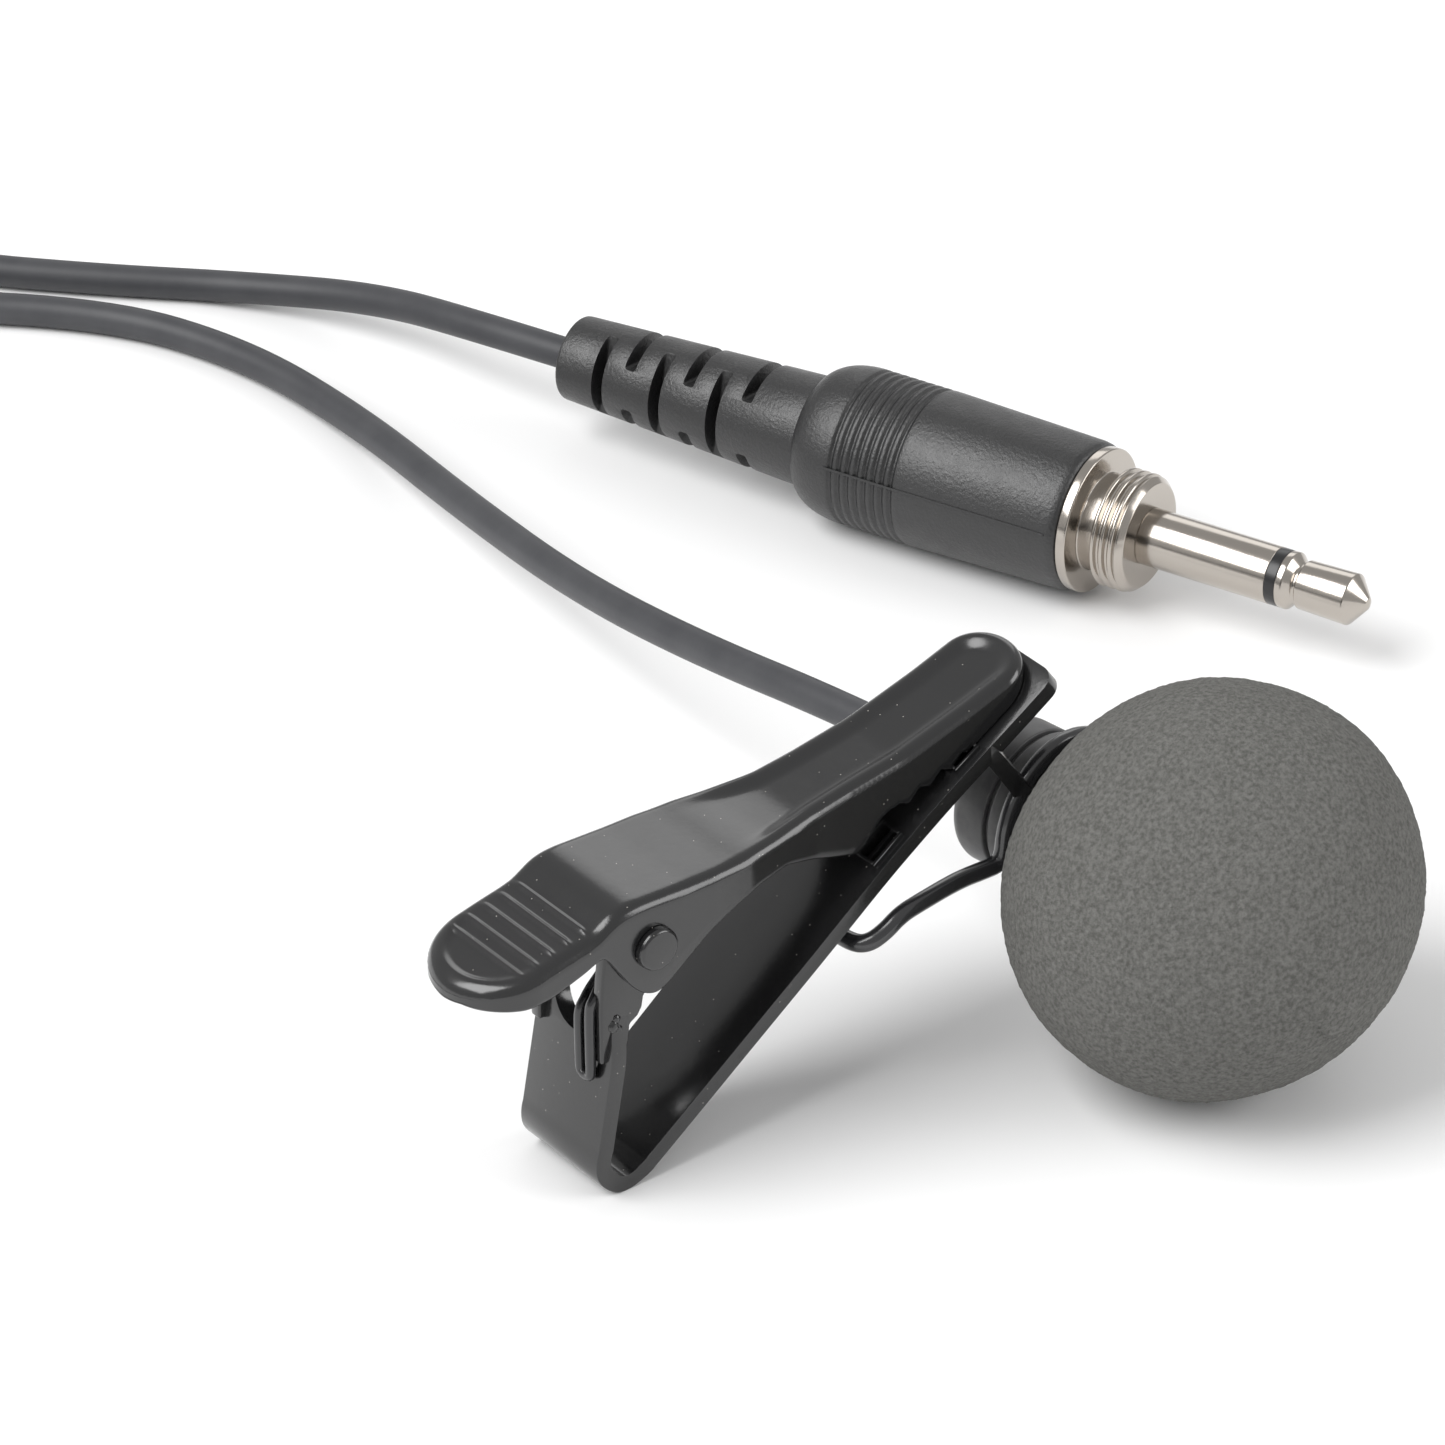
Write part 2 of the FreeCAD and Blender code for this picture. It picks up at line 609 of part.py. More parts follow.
collar_start = S["relief_length"] + S["body_length"]
solid("tip_tag", tag(1.6, collar_start - 9.2, 5.6, 0.0), on_plug)
solid("ground_tag", tag(2.4, collar_start - 13.0, 9.6, -2.0), on_plug)
solid("core_lead", rod_between(Vector(0, -0.36, collar_start - 17.4),
                               Vector(0, -0.36, collar_start - 6.4), 0.35), on_plug)
solid("screen_lead", rod_between(Vector(0, -1.3, collar_start - 17.4),
                                 Vector(0, -1.3, collar_start - 8.4), 0.35), on_plug)

# ---- Cord: two free stretches and the put-away coil ----
cord_exit = mic_centre + mic_axis * S["bush_rear"]
MIC_ROUTE = [cord_exit, cord_exit - mic_axis * 10.5, Vector(11.2, 37.6, 8.8), Vector(12.6, 51.0, 6.0),
             Vector(15.6, 66.0, 3.2), Vector(18.3, 80.5, 1.3), Vector(17.9, 92.2, 1.03),
             Vector(13.7, 102.3, 1.03), Vector(0.6, 113.6, 1.1), Vector(-12.2, 125.1, 1.5)]
PLUG_ROUTE = [plug_start, plug_start - plug_axis * 6.7, Vector(26.6, 90.3, 2.9), Vector(22.5, 99.4, 1.03),
              Vector(15.8, 105.8, 1.03), Vector(8.2, 113.9, 1.1), Vector(10.5, 127.0, 2.2),
              Vector(15.0, 138.5, 4.8), Vector(8.2, 149.1, 7.3)]


def cord_run(label, route):
    rod, radii, length = routed(route, S["cord_radius"])
    expected = math.pi * S["cord_radius"] ** 2 * length
    print(label, "length", round(length, 1), "volume ratio", round(rod.Volume / expected, 4),
          "radii", [round(radius, 1) for radius in radii])
    return solid(label, rod, in_frame)


cord_run("mic_cord", MIC_ROUTE)
cord_run("plug_cord", PLUG_ROUTE)


def on_coil(obj):
    for letter in "xy":
        obj.setExpression(f"Placement.Base.{letter}", f"Sizes.coil_{letter}")


def coil_block(outer, inner, low, high):
    body = Part.makeCylinder(outer, high - low, Vector(0, 0, low))
    return body.cut(Part.makeCylinder(inner, high - low, Vector(0, 0, low)))


coil_outer = S["coil_mean"] + S["coil_wide"] / 2
coil_inner = S["coil_mean"] - S["coil_wide"] / 2
coil_top = S["coil_lift"] + S["coil_tall"]
solid("cord_coil", coil_block(coil_outer, coil_inner, S["coil_lift"], coil_top), on_coil)


def coil_tie():
    """A flat strap round the bundle."""
    thick = 0.4
    strap = coil_block(coil_outer + thick, coil_inner - thick, S["coil_lift"] - thick, coil_top + thick)
    strap = strap.cut(coil_block(coil_outer, coil_inner, S["coil_lift"], coil_top))
    return strap.common(Part.makeBox(coil_outer + 1, 3.2, coil_top + 2, Vector(-coil_outer - 1, -1.6, 0)))


solid("coil_tie", coil_tie(), on_coil)

doc.recompute()
for obj in doc.Objects:
    bad = [word for word in obj.State if word in ("Invalid", "Error")]
    if bad:
        raise RuntimeError(f"{obj.Name}: {bad}")
for obj in nodes:
    if obj.Shape.isNull() or not obj.Shape.isValid():
        raise RuntimeError(f"{obj.Label} has a bad shape")

os.makedirs("parts", exist_ok=True)
bounds = FreeCAD.BoundBox()
cord_labels = ("mic_cord", "plug_cord", "cord_coil", "coil_tie", "plug_relief", "plug_body", "plug_collar",
               "jack_sleeve", "jack_insulator", "jack_tip", "rear_insulator", "tip_tag", "ground_tag",
               "core_lead", "screen_lead")
for obj in nodes:
    obj.Shape.exportStep(f"parts/{obj.Label}.step")
    box = obj.Shape.BoundBox
    if obj.Label not in cord_labels:
        bounds.add(box)
    print(f"{obj.Label}: {len(obj.Shape.Solids)} solid(s), volume {obj.Shape.Volume:.2f}, "
          f"z from {box.ZMin:.2f}")
print("standing object", bounds)
print("coil turns hold about", round(S["coil_wide"] * S["coil_tall"] / 4
                                     * 2 * math.pi * S["coil_mean"]), "mm of cord")
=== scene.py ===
import json
import math

import bmesh
import bpy
import numpy as np
from mathutils import Matrix, Vector, noise

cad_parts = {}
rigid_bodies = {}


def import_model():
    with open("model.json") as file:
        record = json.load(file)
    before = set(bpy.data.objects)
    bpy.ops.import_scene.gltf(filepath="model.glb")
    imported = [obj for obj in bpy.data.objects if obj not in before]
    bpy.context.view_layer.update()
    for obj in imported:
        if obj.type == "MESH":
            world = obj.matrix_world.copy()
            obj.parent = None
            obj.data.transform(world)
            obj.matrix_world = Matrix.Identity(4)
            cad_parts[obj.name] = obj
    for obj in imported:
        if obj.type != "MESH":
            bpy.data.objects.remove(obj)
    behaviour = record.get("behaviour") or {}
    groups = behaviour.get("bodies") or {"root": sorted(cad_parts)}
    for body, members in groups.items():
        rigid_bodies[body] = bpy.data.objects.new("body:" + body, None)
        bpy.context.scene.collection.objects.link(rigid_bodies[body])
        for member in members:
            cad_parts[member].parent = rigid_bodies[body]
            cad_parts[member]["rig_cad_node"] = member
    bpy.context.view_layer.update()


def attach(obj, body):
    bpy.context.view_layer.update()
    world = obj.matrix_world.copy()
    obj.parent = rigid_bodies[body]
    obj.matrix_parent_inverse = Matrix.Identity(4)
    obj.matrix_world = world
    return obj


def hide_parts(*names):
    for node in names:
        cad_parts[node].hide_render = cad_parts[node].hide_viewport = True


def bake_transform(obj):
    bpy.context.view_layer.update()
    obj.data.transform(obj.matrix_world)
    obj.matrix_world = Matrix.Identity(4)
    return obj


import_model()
MM = 0.001

# ---- Where the three groups lie, in millimetres, as in the CAD source ----
CLIP_BACK, CLIP_ASIDE = 18.2, 10.33
STRIP_HALF = 3.65
MIC = Vector((15.49, -3.22, 11.6))
MIC_YAW = math.radians(9.2)
MIC_AXIS = Vector((math.sin(MIC_YAW), -math.cos(MIC_YAW), 0))
PLUG = Vector((29.872, 74.077, 4.9))
PLUG_YAW = math.radians(20.6)
PLUG_AXIS = Vector((math.sin(PLUG_YAW), -math.cos(PLUG_YAW), 0))
BUSH_END, RING_STATION = 16.1, 11.1
UP = Vector((0, 0, 1))


def axis_matrix(origin, axis):
    """Local z runs along the axis, local y is up."""
    side = UP.cross(axis).normalized()
    turn = Matrix((side, UP, axis)).transposed().to_4x4()
    return Matrix.Translation(origin) @ turn


CLIP_PLACE = Matrix.Translation(Vector((-CLIP_BACK, CLIP_ASIDE, 0)))
MIC_PLACE = axis_matrix(MIC, MIC_AXIS)
PLUG_PLACE = axis_matrix(PLUG, PLUG_AXIS)
WORLD_PLACE = Matrix.Identity(4)


# ---- Materials ----
def nodes_of(name):
    mat = bpy.data.materials.new(name)
    mat.use_nodes = True
    tree = mat.node_tree
    return mat, tree, tree.nodes["Principled BSDF"]


def add(tree, kind, **inputs):
    node = tree.nodes.new(kind)
    for key, value in inputs.items():
        node.inputs[key.replace("_", " ")].default_value = value
    return node


def finish_of(name, color, rough, metal=0.0, coat=0.0, coat_rough=0.05, grain=None, mottle=None,
              specks=None, spec=0.5, rough_var=0.0):
    """A surface with optional fine grain (scale, strength), colour mottling (scale, colour) and dust."""
    mat, tree, bsdf = nodes_of(name)
    bsdf.inputs["Base Color"].default_value = (*color, 1)
    bsdf.inputs["Roughness"].default_value = rough
    bsdf.inputs["Metallic"].default_value = metal
    bsdf.inputs["Coat Weight"].default_value = coat
    bsdf.inputs["Coat Roughness"].default_value = coat_rough
    bsdf.inputs["Specular IOR Level"].default_value = spec
    coords = tree.nodes.new("ShaderNodeTexCoord")
    base = None
    if mottle:
        scale, other, low, high = mottle
        cloud = add(tree, "ShaderNodeTexNoise", Scale=scale, Detail=5.0, Roughness=0.6)
        tree.links.new(coords.outputs["Object"], cloud.inputs["Vector"])
        ramp = tree.nodes.new("ShaderNodeMapRange")
        ramp.inputs["From Min"].default_value = low
        ramp.inputs["From Max"].default_value = high
        tree.links.new(cloud.outputs["Fac"], ramp.inputs["Value"])
        mix = tree.nodes.new("ShaderNodeMix")
        mix.data_type = "RGBA"
        mix.inputs[6].default_value = (*color, 1)
        mix.inputs[7].default_value = (*other, 1)
        tree.links.new(ramp.outputs["Result"], mix.inputs[0])
        base = mix.outputs[2]
    if specks:
        scale, size, tint = specks
        dots = tree.nodes.new("ShaderNodeTexVoronoi")
        dots.inputs["Scale"].default_value = scale
        dots.inputs["Randomness"].default_value = 1.0
        tree.links.new(coords.outputs["Object"], dots.inputs["Vector"])
        small = tree.nodes.new("ShaderNodeMath")
        small.operation = "LESS_THAN"
        small.inputs[1].default_value = size
        tree.links.new(dots.outputs["Distance"], small.inputs[0])
        mix = tree.nodes.new("ShaderNodeMix")
        mix.data_type = "RGBA"
        mix.inputs[6].default_value = (*color, 1)
        mix.inputs[7].default_value = (*tint, 1)
        if base:
            tree.links.new(base, mix.inputs[6])
        tree.links.new(small.outputs[0], mix.inputs[0])
        base = mix.outputs[2]
    if base:
        tree.links.new(base, bsdf.inputs["Base Color"])
    if rough_var:
        haze = add(tree, "ShaderNodeTexNoise", Scale=900.0, Detail=3.0)
        tree.links.new(coords.outputs["Object"], haze.inputs["Vector"])
        span = tree.nodes.new("ShaderNodeMapRange")
        span.inputs["To Min"].default_value = rough - rough_var
        span.inputs["To Max"].default_value = rough + rough_var
        tree.links.new(haze.outputs["Fac"], span.inputs["Value"])
        tree.links.new(span.outputs["Result"], bsdf.inputs["Roughness"])
    if grain:
        scale, strength, distance = grain
        fine = add(tree, "ShaderNodeTexNoise", Scale=scale, Detail=4.0, Roughness=0.65)
        tree.links.new(coords.outputs["Object"], fine.inputs["Vector"])
        bump = tree.nodes.new("ShaderNodeBump")
        bump.inputs["Strength"].default_value = strength
        bump.inputs["Distance"].default_value = distance
        tree.links.new(fine.outputs["Fac"], bump.inputs["Height"])
        tree.links.new(bump.outputs["Normal"], bsdf.inputs["Normal"])
    return mat


BLACK_PAINT = finish_of("black paint", (0.011, 0.011, 0.0115), 0.19, coat=0.35, coat_rough=0.16,
                        grain=(2600.0, 0.12, 0.00006), specks=(1500.0, 0.055, (0.3, 0.285, 0.26)),
                        spec=0.62, rough_var=0.05)
BLACK_WIRE = finish_of("black wire", (0.024, 0.024, 0.026), 0.22, coat=0.5, coat_rough=0.1,
                       grain=(2400.0, 0.08, 0.00004), spec=0.6)
SPRING = finish_of("blackened spring", (0.02, 0.02, 0.022), 0.24, coat=0.3, coat_rough=0.12,
                   grain=(3000.0, 0.1, 0.00004), spec=0.6)
MIC_SHELL = finish_of("satin shell", (0.105, 0.105, 0.104), 0.4, grain=(5000.0, 0.1, 0.00004),
                      mottle=(700.0, (0.068, 0.068, 0.07), 0.35, 0.65), spec=0.6)
PLUG_PLASTIC = finish_of("plug moulding", (0.009, 0.009, 0.0095), 0.37, grain=(4300.0, 0.55, 0.0001),
                         spec=0.85, rough_var=0.1)
NICKEL = finish_of("nickel plate", (0.47, 0.433, 0.392), 0.17, metal=1.0, grain=(1500.0, 0.1, 0.00005),
                   rough_var=0.04)
CORD_SKIN = finish_of("cord skin", (0.045, 0.046, 0.051), 0.48, grain=(3800.0, 0.12, 0.00005),
                      mottle=(300.0, (0.06, 0.061, 0.066), 0.3, 0.7), spec=0.4)
FOAM_SKIN = finish_of("foam skin", (0.112, 0.112, 0.104), 0.95, grain=(6400.0, 1.0, 0.00021),
                      mottle=(3800.0, (0.205, 0.203, 0.193), 0.34, 0.66), spec=0.12)
INSULATOR = finish_of("black insulator", (0.014, 0.014, 0.015), 0.3, grain=(3000.0, 0.08, 0.00004))
FELT = finish_of("felt", (0.035, 0.035, 0.035), 0.95, grain=(3000.0, 0.8, 0.0003), spec=0.1)
ALUMINIUM = finish_of("bare aluminium", (0.76, 0.76, 0.77), 0.3, metal=1.0, grain=(2000.0, 0.08, 0.00005))
BOARD = finish_of("board", (0.03, 0.12, 0.05), 0.35, grain=(2500.0, 0.1, 0.00004))
LEAD = finish_of("lead sleeve", (0.35, 0.04, 0.03), 0.4, grain=(2500.0, 0.1, 0.00004))
TIN = finish_of("tinned brass", (0.78, 0.73, 0.58), 0.28, metal=1.0, grain=(1500.0, 0.1, 0.00005))
RUBBER = finish_of("soft rubber", (0.022, 0.022, 0.023), 0.6, grain=(3500.0, 0.25, 0.00006))
TIE = finish_of("tie strap", (0.02, 0.02, 0.021), 0.7, grain=(2600.0, 0.6, 0.0001))


# ---- Mesh helpers ----
BOX_FACES = [(0, 1, 3, 2), (4, 6, 7, 5), (0, 4, 5, 1), (2, 3, 7, 6), (0, 2, 6, 4), (1, 5, 7, 3)]


def linked(name, data):
    """A new object in the scene."""
    obj = bpy.data.objects.new(name, data)
    bpy.context.collection.objects.link(obj)
    return obj


def bar_faces(rows):
    """The faces of a closed four-sided bar of so many rows, with its two ends."""
    faces = []
    for row in range(rows - 1):
        for side in range(4):
            to = (side + 1) % 4
            faces.append((row * 4 + side, (row + 1) * 4 + side, (row + 1) * 4 + to, row * 4 + to))
    last = 4 * (rows - 1)
    return faces + [(0, 1, 2, 3), (last, last + 3, last + 2, last + 1)]


def mesh_object(name, verts, faces, place, mat, sharp=38):
    mesh = bpy.data.meshes.new(name)
    mesh.from_pydata([tuple(Vector(v) * MM) for v in verts], [], faces)
    mesh.validate()
    spot = place.copy()
    spot.translation = place.translation * MM
    mesh.transform(spot)
    work = bmesh.new()
    work.from_mesh(mesh)
    bmesh.ops.remove_doubles(work, verts=work.verts, dist=1e-7)
    bmesh.ops.recalc_face_normals(work, faces=work.faces)
    work.to_mesh(mesh)
    work.free()
    mesh.materials.append(mat)
    obj = linked(name, mesh)
    smooth(obj, sharp)
    return obj


def smooth(obj, sharp=38):
    for face in obj.data.polygons:
        face.use_smooth = True
    obj.data.set_sharp_from_angle(angle=math.radians(sharp))


def apply_modifiers(obj, sharp=38):
    """Turn the object's modifiers into its own mesh."""
    graph = bpy.context.evaluated_depsgraph_get()
    mesh = bpy.data.meshes.new_from_object(obj.evaluated_get(graph))
    obj.modifiers.clear()
    obj.data = mesh
    smooth(obj, sharp)
    return obj


def bevelled(obj, width, segments=3, angle=30):
    bevel = obj.modifiers.new("bevel", "BEVEL")
    bevel.width = width * MM
    bevel.segments = segments
    bevel.limit_method = "ANGLE"
    bevel.angle_limit = math.radians(angle)
    return apply_modifiers(obj)


def carved(obj, tools, sharp=38):
    for tool in tools:
        cut = obj.modifiers.new("cut", "BOOLEAN")
        cut.operation = "DIFFERENCE"
        cut.solver = "EXACT"
        cut.object = tool
    apply_modifiers(obj, sharp)
    for tool in tools:
        bpy.data.objects.remove(tool)
    return obj


def joined(name, pieces, sharp=38):
    """Several meshes as one object."""
    work = bmesh.new()
    for piece in pieces:
        work.from_mesh(piece.data)
    mesh = bpy.data.meshes.new(name)
    work.to_mesh(mesh)
    work.free()
    mesh.materials.append(pieces[0].data.materials[0])
    obj = linked(name, mesh)
    for piece in pieces:
        bpy.data.objects.remove(piece)
    smooth(obj, sharp)
    return obj


def block(low, high, place, mat):
    (x0, y0, z0), (x1, y1, z1) = low, high
    verts = [(x, y, z) for x in (x0, x1) for y in (y0, y1) for z in (z0, z1)]
    return mesh_object("block", verts, BOX_FACES, place, mat)


def softened(profile, radius, steps=4):
    """Round the corners of an open (along, out) profile."""
    out = [profile[0]]
    for before, corner, after in zip(profile, profile[1:], profile[2:]):
        a = Vector(before) - Vector(corner)
        b = Vector(after) - Vector(corner)
        reach = min(radius, a.length * 0.45, b.length * 0.45)
        if a.length < 1e-6 or b.length < 1e-6:
            continue
        start = Vector(corner) + a.normalized() * reach
        end = Vector(corner) + b.normalized() * reach
        for step in range(steps + 1):
            t = step / steps
            spot = start * (1 - t) ** 2 + Vector(corner) * 2 * t * (1 - t) + end * t * t
            out.append(tuple(spot))
    out.append(profile[-1])
    return out


def lathe(name, profile, place, mat, radius=0.1, steps=96, sharp=38):
    """Turn an (along, out) profile about the local z axis."""
    path = softened(profile, radius) if radius else profile
    verts = []
    for along, out in path:
        for step in range(steps):
            turn = 2 * math.pi * step / steps
            verts.append((out * math.cos(turn), out * math.sin(turn), along))
    faces = []
    for row in range(len(path) - 1):
        for step in range(steps):
            after = (step + 1) % steps
            faces.append((row * steps + step, row * steps + after,
                          (row + 1) * steps + after, (row + 1) * steps + step))
    return mesh_object(name, verts, faces, place, mat, sharp)


def nurbs_tube(name, points, radius, mat, place=WORLD_PLACE, sides=6, resolution=8):
    curve = bpy.data.curves.new(name, "CURVE")
    curve.dimensions = "3D"
    line = curve.splines.new("NURBS")
    line.points.add(len(points) - 1)
    for spot, point in zip(line.points, points):
        spot.co = (*((place @ Vector(point)) * MM), 1)
    line.order_u = 3
    line.use_endpoint_u = True
    line.resolution_u = resolution
    curve.bevel_depth = radius * MM
    curve.bevel_resolution = sides
    curve.use_fill_caps = True
    curve.materials.append(mat)
    return linked(name, curve)


def as_mesh(obj, sharp):
    """A curve object turned into a mesh object of the same name."""
    graph = bpy.context.evaluated_depsgraph_get()
    mesh = bpy.data.meshes.new_from_object(obj.evaluated_get(graph))
    mesh.transform(obj.matrix_world)
    name = obj.name
    mat = obj.data.materials[0]
    bpy.data.objects.remove(obj)
    made = linked(name, mesh)
    if not mesh.materials:
        mesh.materials.append(mat)
    smooth(made, sharp)
    return made


def stands_for(obj, body, slot, *nodes):
    if body:
        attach(obj, body)
    if nodes:
        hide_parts(*nodes)
    return obj


# ---- Camera ----
ELEVATION = math.radians(32.0)
TURN = math.radians(52.5)
RIGHT = Vector((math.sin(TURN), -math.cos(TURN), 0))
AWAY = Vector((math.cos(TURN), math.sin(TURN), 0))
look_up = AWAY * math.sin(ELEVATION) + UP * math.cos(ELEVATION)
look_back = -AWAY * math.cos(ELEVATION) + UP * math.sin(ELEVATION)
BEND_CORNER = Vector((-CLIP_BACK, CLIP_ASIDE - STRIP_HALF, 0.57))
DISTANCE = 520.6
OFF_RIGHT, OFF_UP = -5.977, -25.18
camera_data = bpy.data.cameras.new("camera")
camera_data.sensor_width = 36
camera_data.lens = 239.8
camera_data.clip_start = 0.01
camera_data.clip_end = 10
camera = linked("camera", camera_data)
eye = BEND_CORNER - RIGHT * OFF_RIGHT - look_up * OFF_UP + look_back * DISTANCE
turn = Matrix((RIGHT, look_up, look_back)).transposed().to_4x4()
camera.matrix_world = Matrix.Translation(eye * MM) @ turn
bpy.context.scene.camera = camera

# ---- Cord: one lead from the microphone to the plug, most of it in a tied coil ----
CORD_RADIUS = 1.0
cord_exit = MIC - MIC_AXIS * BUSH_END
MIC_ROUTE = [cord_exit, cord_exit - MIC_AXIS * 10.5, (11.2, 37.6, 8.8), (12.6, 51.0, 6.0),
             (15.6, 66.0, 3.2), (18.3, 80.5, 1.3), (17.9, 92.2, 1.03), (13.7, 102.3, 1.03),
             (0.6, 113.6, 1.1), (-12.2, 125.1, 1.5)]
PLUG_ROUTE = [PLUG, PLUG - PLUG_AXIS * 6.7, (26.6, 90.3, 2.9), (22.5, 99.4, 1.03), (15.8, 105.8, 1.03),
              (8.2, 113.9, 1.1), (10.5, 127.0, 2.2), (15.0, 138.5, 4.8), (8.2, 149.1, 7.3)]
COIL = Vector((-6.45, 140.9, 1.5))
COIL_OUT, COIL_IN, COIL_LAYERS, COIL_TURNS, PER_TURN = 15.7, 9.1, 4, 12.5, 16
COIL_START = math.radians(229.4)
LAYER_RISE = 2.1


def coil_points():
    """Spiral in, step up, spiral out, and so on, clockwise from above."""
    points = []
    total = int(COIL_TURNS * PER_TURN)
    per_layer = COIL_TURNS / COIL_LAYERS
    step_up = 0.3
    for index in range(total + 1):
        turns = index / PER_TURN
        layer = min(int(turns / per_layer), COIL_LAYERS - 1)
        within = turns / per_layer - layer
        share = within if layer % 2 == 0 else 1 - within
        reach = COIL_OUT + (COIL_IN - COIL_OUT) * share
        left = (1 - within) * per_layer
        rise = layer
        if layer < COIL_LAYERS - 1 and left < step_up:
            rise += 0.5 * (1 - left / step_up)
        if layer > 0 and within * per_layer < step_up:
            rise -= 0.5 * (1 - within * per_layer / step_up)
        turn_now = COIL_START - 2 * math.pi * turns
        points.append((COIL.x + reach * math.cos(turn_now), COIL.y + reach * math.sin(turn_now),
                       COIL.z + LAYER_RISE * rise))
    return points


cord_points = [*MIC_ROUTE, *coil_points(), *reversed(PLUG_ROUTE)]
lead = nurbs_tube("lead", cord_points, CORD_RADIUS, CORD_SKIN, sides=8, resolution=10)
stands_for(lead, "clip", "cord_pvc", "mic_cord", "plug_cord", "cord_coil")


def coil_tie():
    """A flat strap drawn round the bundle."""
    gap, thick, half = 0.12, 0.45, 1.5
    inner = COIL_IN - CORD_RADIUS - gap
    outer = COIL_OUT + CORD_RADIUS + gap
    low = COIL.z - CORD_RADIUS - 0.02
    high = COIL.z + LAYER_RISE * (COIL_LAYERS - 1) + CORD_RADIUS + gap
    corner = 1.1
    path = []
    for cx, cz, start in ((outer - corner, high - corner, 0), (inner + corner, high - corner, 90),
                          (inner + corner, low + corner, 180), (outer - corner, low + corner, 270)):
        for step in range(7):
            angle = math.radians(start + 15 * step)
            path.append((cx, cz, math.cos(angle), math.sin(angle)))
    verts, faces = [], []
    rim = [(0, -half), (thick, -half), (thick, half), (0, half)]
    for r, z, nx, nz in path:
        for out, across in rim:
            verts.append((-(r + nx * out), across, z + nz * out))
    count = len(path)
    for row in range(count):
        after = (row + 1) % count
        for side in range(4):
            to = (side + 1) % 4
            faces.append((row * 4 + side, after * 4 + side, after * 4 + to, row * 4 + to))
    spot = Matrix.Translation(Vector((COIL.x, COIL.y, 0)))
    return bevelled(mesh_object("tie", verts, faces, spot, TIE), 0.1, 2, 50)


tie = stands_for(coil_tie(), "clip", "tie", "coil_tie")


# ---- Clip frame ----
STRIP_ANGLE, RISER_ANGLE = math.radians(36.2), math.radians(80.2)
BEND = Vector((1.7, 2.62))
BEND_OUT, SHEET = 2.62, 1.0
STRIP_LENGTH, RISER_LENGTH = 34.5, 8.2
EAR_IN, EAR_OUT = 2.4, 3.2
NEAR_ROUND, FAR_ROUND = 1.0, 3.1
# How far the strip bows inwards along its length, and how far the bend reaches out at each angle
BOW = [(0, 0.38), (3, 0.42), (8, 0.5), (14, 0.58), (20, 0.76), (23, 0.72), (26, 0.62), (29, 0.4),
       (32, 0.18), (34.6, 0.05)]
BEND_SHAPE = [(170.2, 2.62), (205, 2.88), (245, 2.84), (260, 2.62), (280, 2.34), (306.2, 2.24)]
PIVOT = Vector((2.7, 0, 15.3))
WINDOWS = [(20.2, 2.0, -3.0, -1.75), (27.1, 1.5, -2.95, -1.85)]


def ramp(x, low, high):
    share = min(max((x - low) / (high - low), 0), 1)
    return share * share * (3 - 2 * share)


def eased(table, x, reach):
    """A value from a table, averaged over a short reach so that it has no corners."""
    near = x + np.linspace(-reach, reach, 9)
    return float(np.interp(near, [row[0] for row in table], [row[1] for row in table]).mean())


def frame_sheet():
    """The bent sheet: stations run from the riser's top, round the bend, to the strip's tip."""
    stations = []
    riser = Vector((math.cos(RISER_ANGLE), math.sin(RISER_ANGLE)))
    out = Vector((-riser.y, riser.x))
    for share in np.linspace(1, 0, 24):
        near = EAR_OUT + (STRIP_HALF - EAR_OUT) * ramp(RISER_LENGTH * (1 - share), 0.2, 3.2)
        stations.append((BEND + riser * (RISER_LENGTH * share), out, BEND_OUT, near, EAR_OUT))
    for angle in np.linspace(90 + math.degrees(RISER_ANGLE), 270 + math.degrees(STRIP_ANGLE), 24)[1:-1]:
        turn = math.radians(angle)
        out = Vector((math.cos(turn), math.sin(turn)))
        stations.append((BEND, out, eased(BEND_SHAPE, angle, 5), STRIP_HALF, EAR_OUT))
    strip = Vector((math.cos(STRIP_ANGLE), math.sin(STRIP_ANGLE)))
    out = Vector((strip.y, -strip.x))
    straight = list(np.linspace(0, STRIP_LENGTH - FAR_ROUND, 40))
    rounded = [STRIP_LENGTH - FAR_ROUND * (1 - math.sin(math.pi / 2 * step / 24)) for step in range(1, 25)]
    for distance in straight + rounded:
        left = STRIP_LENGTH - distance
        near, far = (STRIP_HALF - r + math.sqrt(max(r ** 2 - max(r - left, 0) ** 2, 0))
                     for r in (NEAR_ROUND, FAR_ROUND))
        far -= (STRIP_HALF - EAR_OUT) * (1 - ramp(distance, 2, 20))
        stations.append((BEND + strip * distance, out, BEND_OUT - eased(BOW, distance, 1.5), near, far))
    verts = []
    for spot, out, reach, near, far in stations:
        outer = spot + out * reach
        inner = spot + out * (reach - SHEET)
        verts += [(outer.x, -near, outer.y), (outer.x, far, outer.y),
                  (inner.x, far, inner.y), (inner.x, -near, inner.y)]
    return mesh_object("clip sheet", verts, bar_faces(len(stations)), CLIP_PLACE, BLACK_PAINT)


def strip_point(along, out, across):
    """A point on the strip: so far along, so far out from the bend's centre, and across."""
    out -= eased(BOW, along, 1.5)
    x = BEND.x + along * math.cos(STRIP_ANGLE) + out * math.sin(STRIP_ANGLE)
    z = BEND.y + along * math.sin(STRIP_ANGLE) - out * math.cos(STRIP_ANGLE)
    return Vector((x, across, z))


def strip_block(start, length, low, high, top, bottom):
    corners = []
    for along in (start, start + length):
        for across in (low, high):
            for out in (BEND_OUT - SHEET + top, BEND_OUT - SHEET + bottom):
                corners.append(strip_point(along, out, across))
    return mesh_object("strip block", corners, BOX_FACES, CLIP_PLACE, BLACK_PAINT)


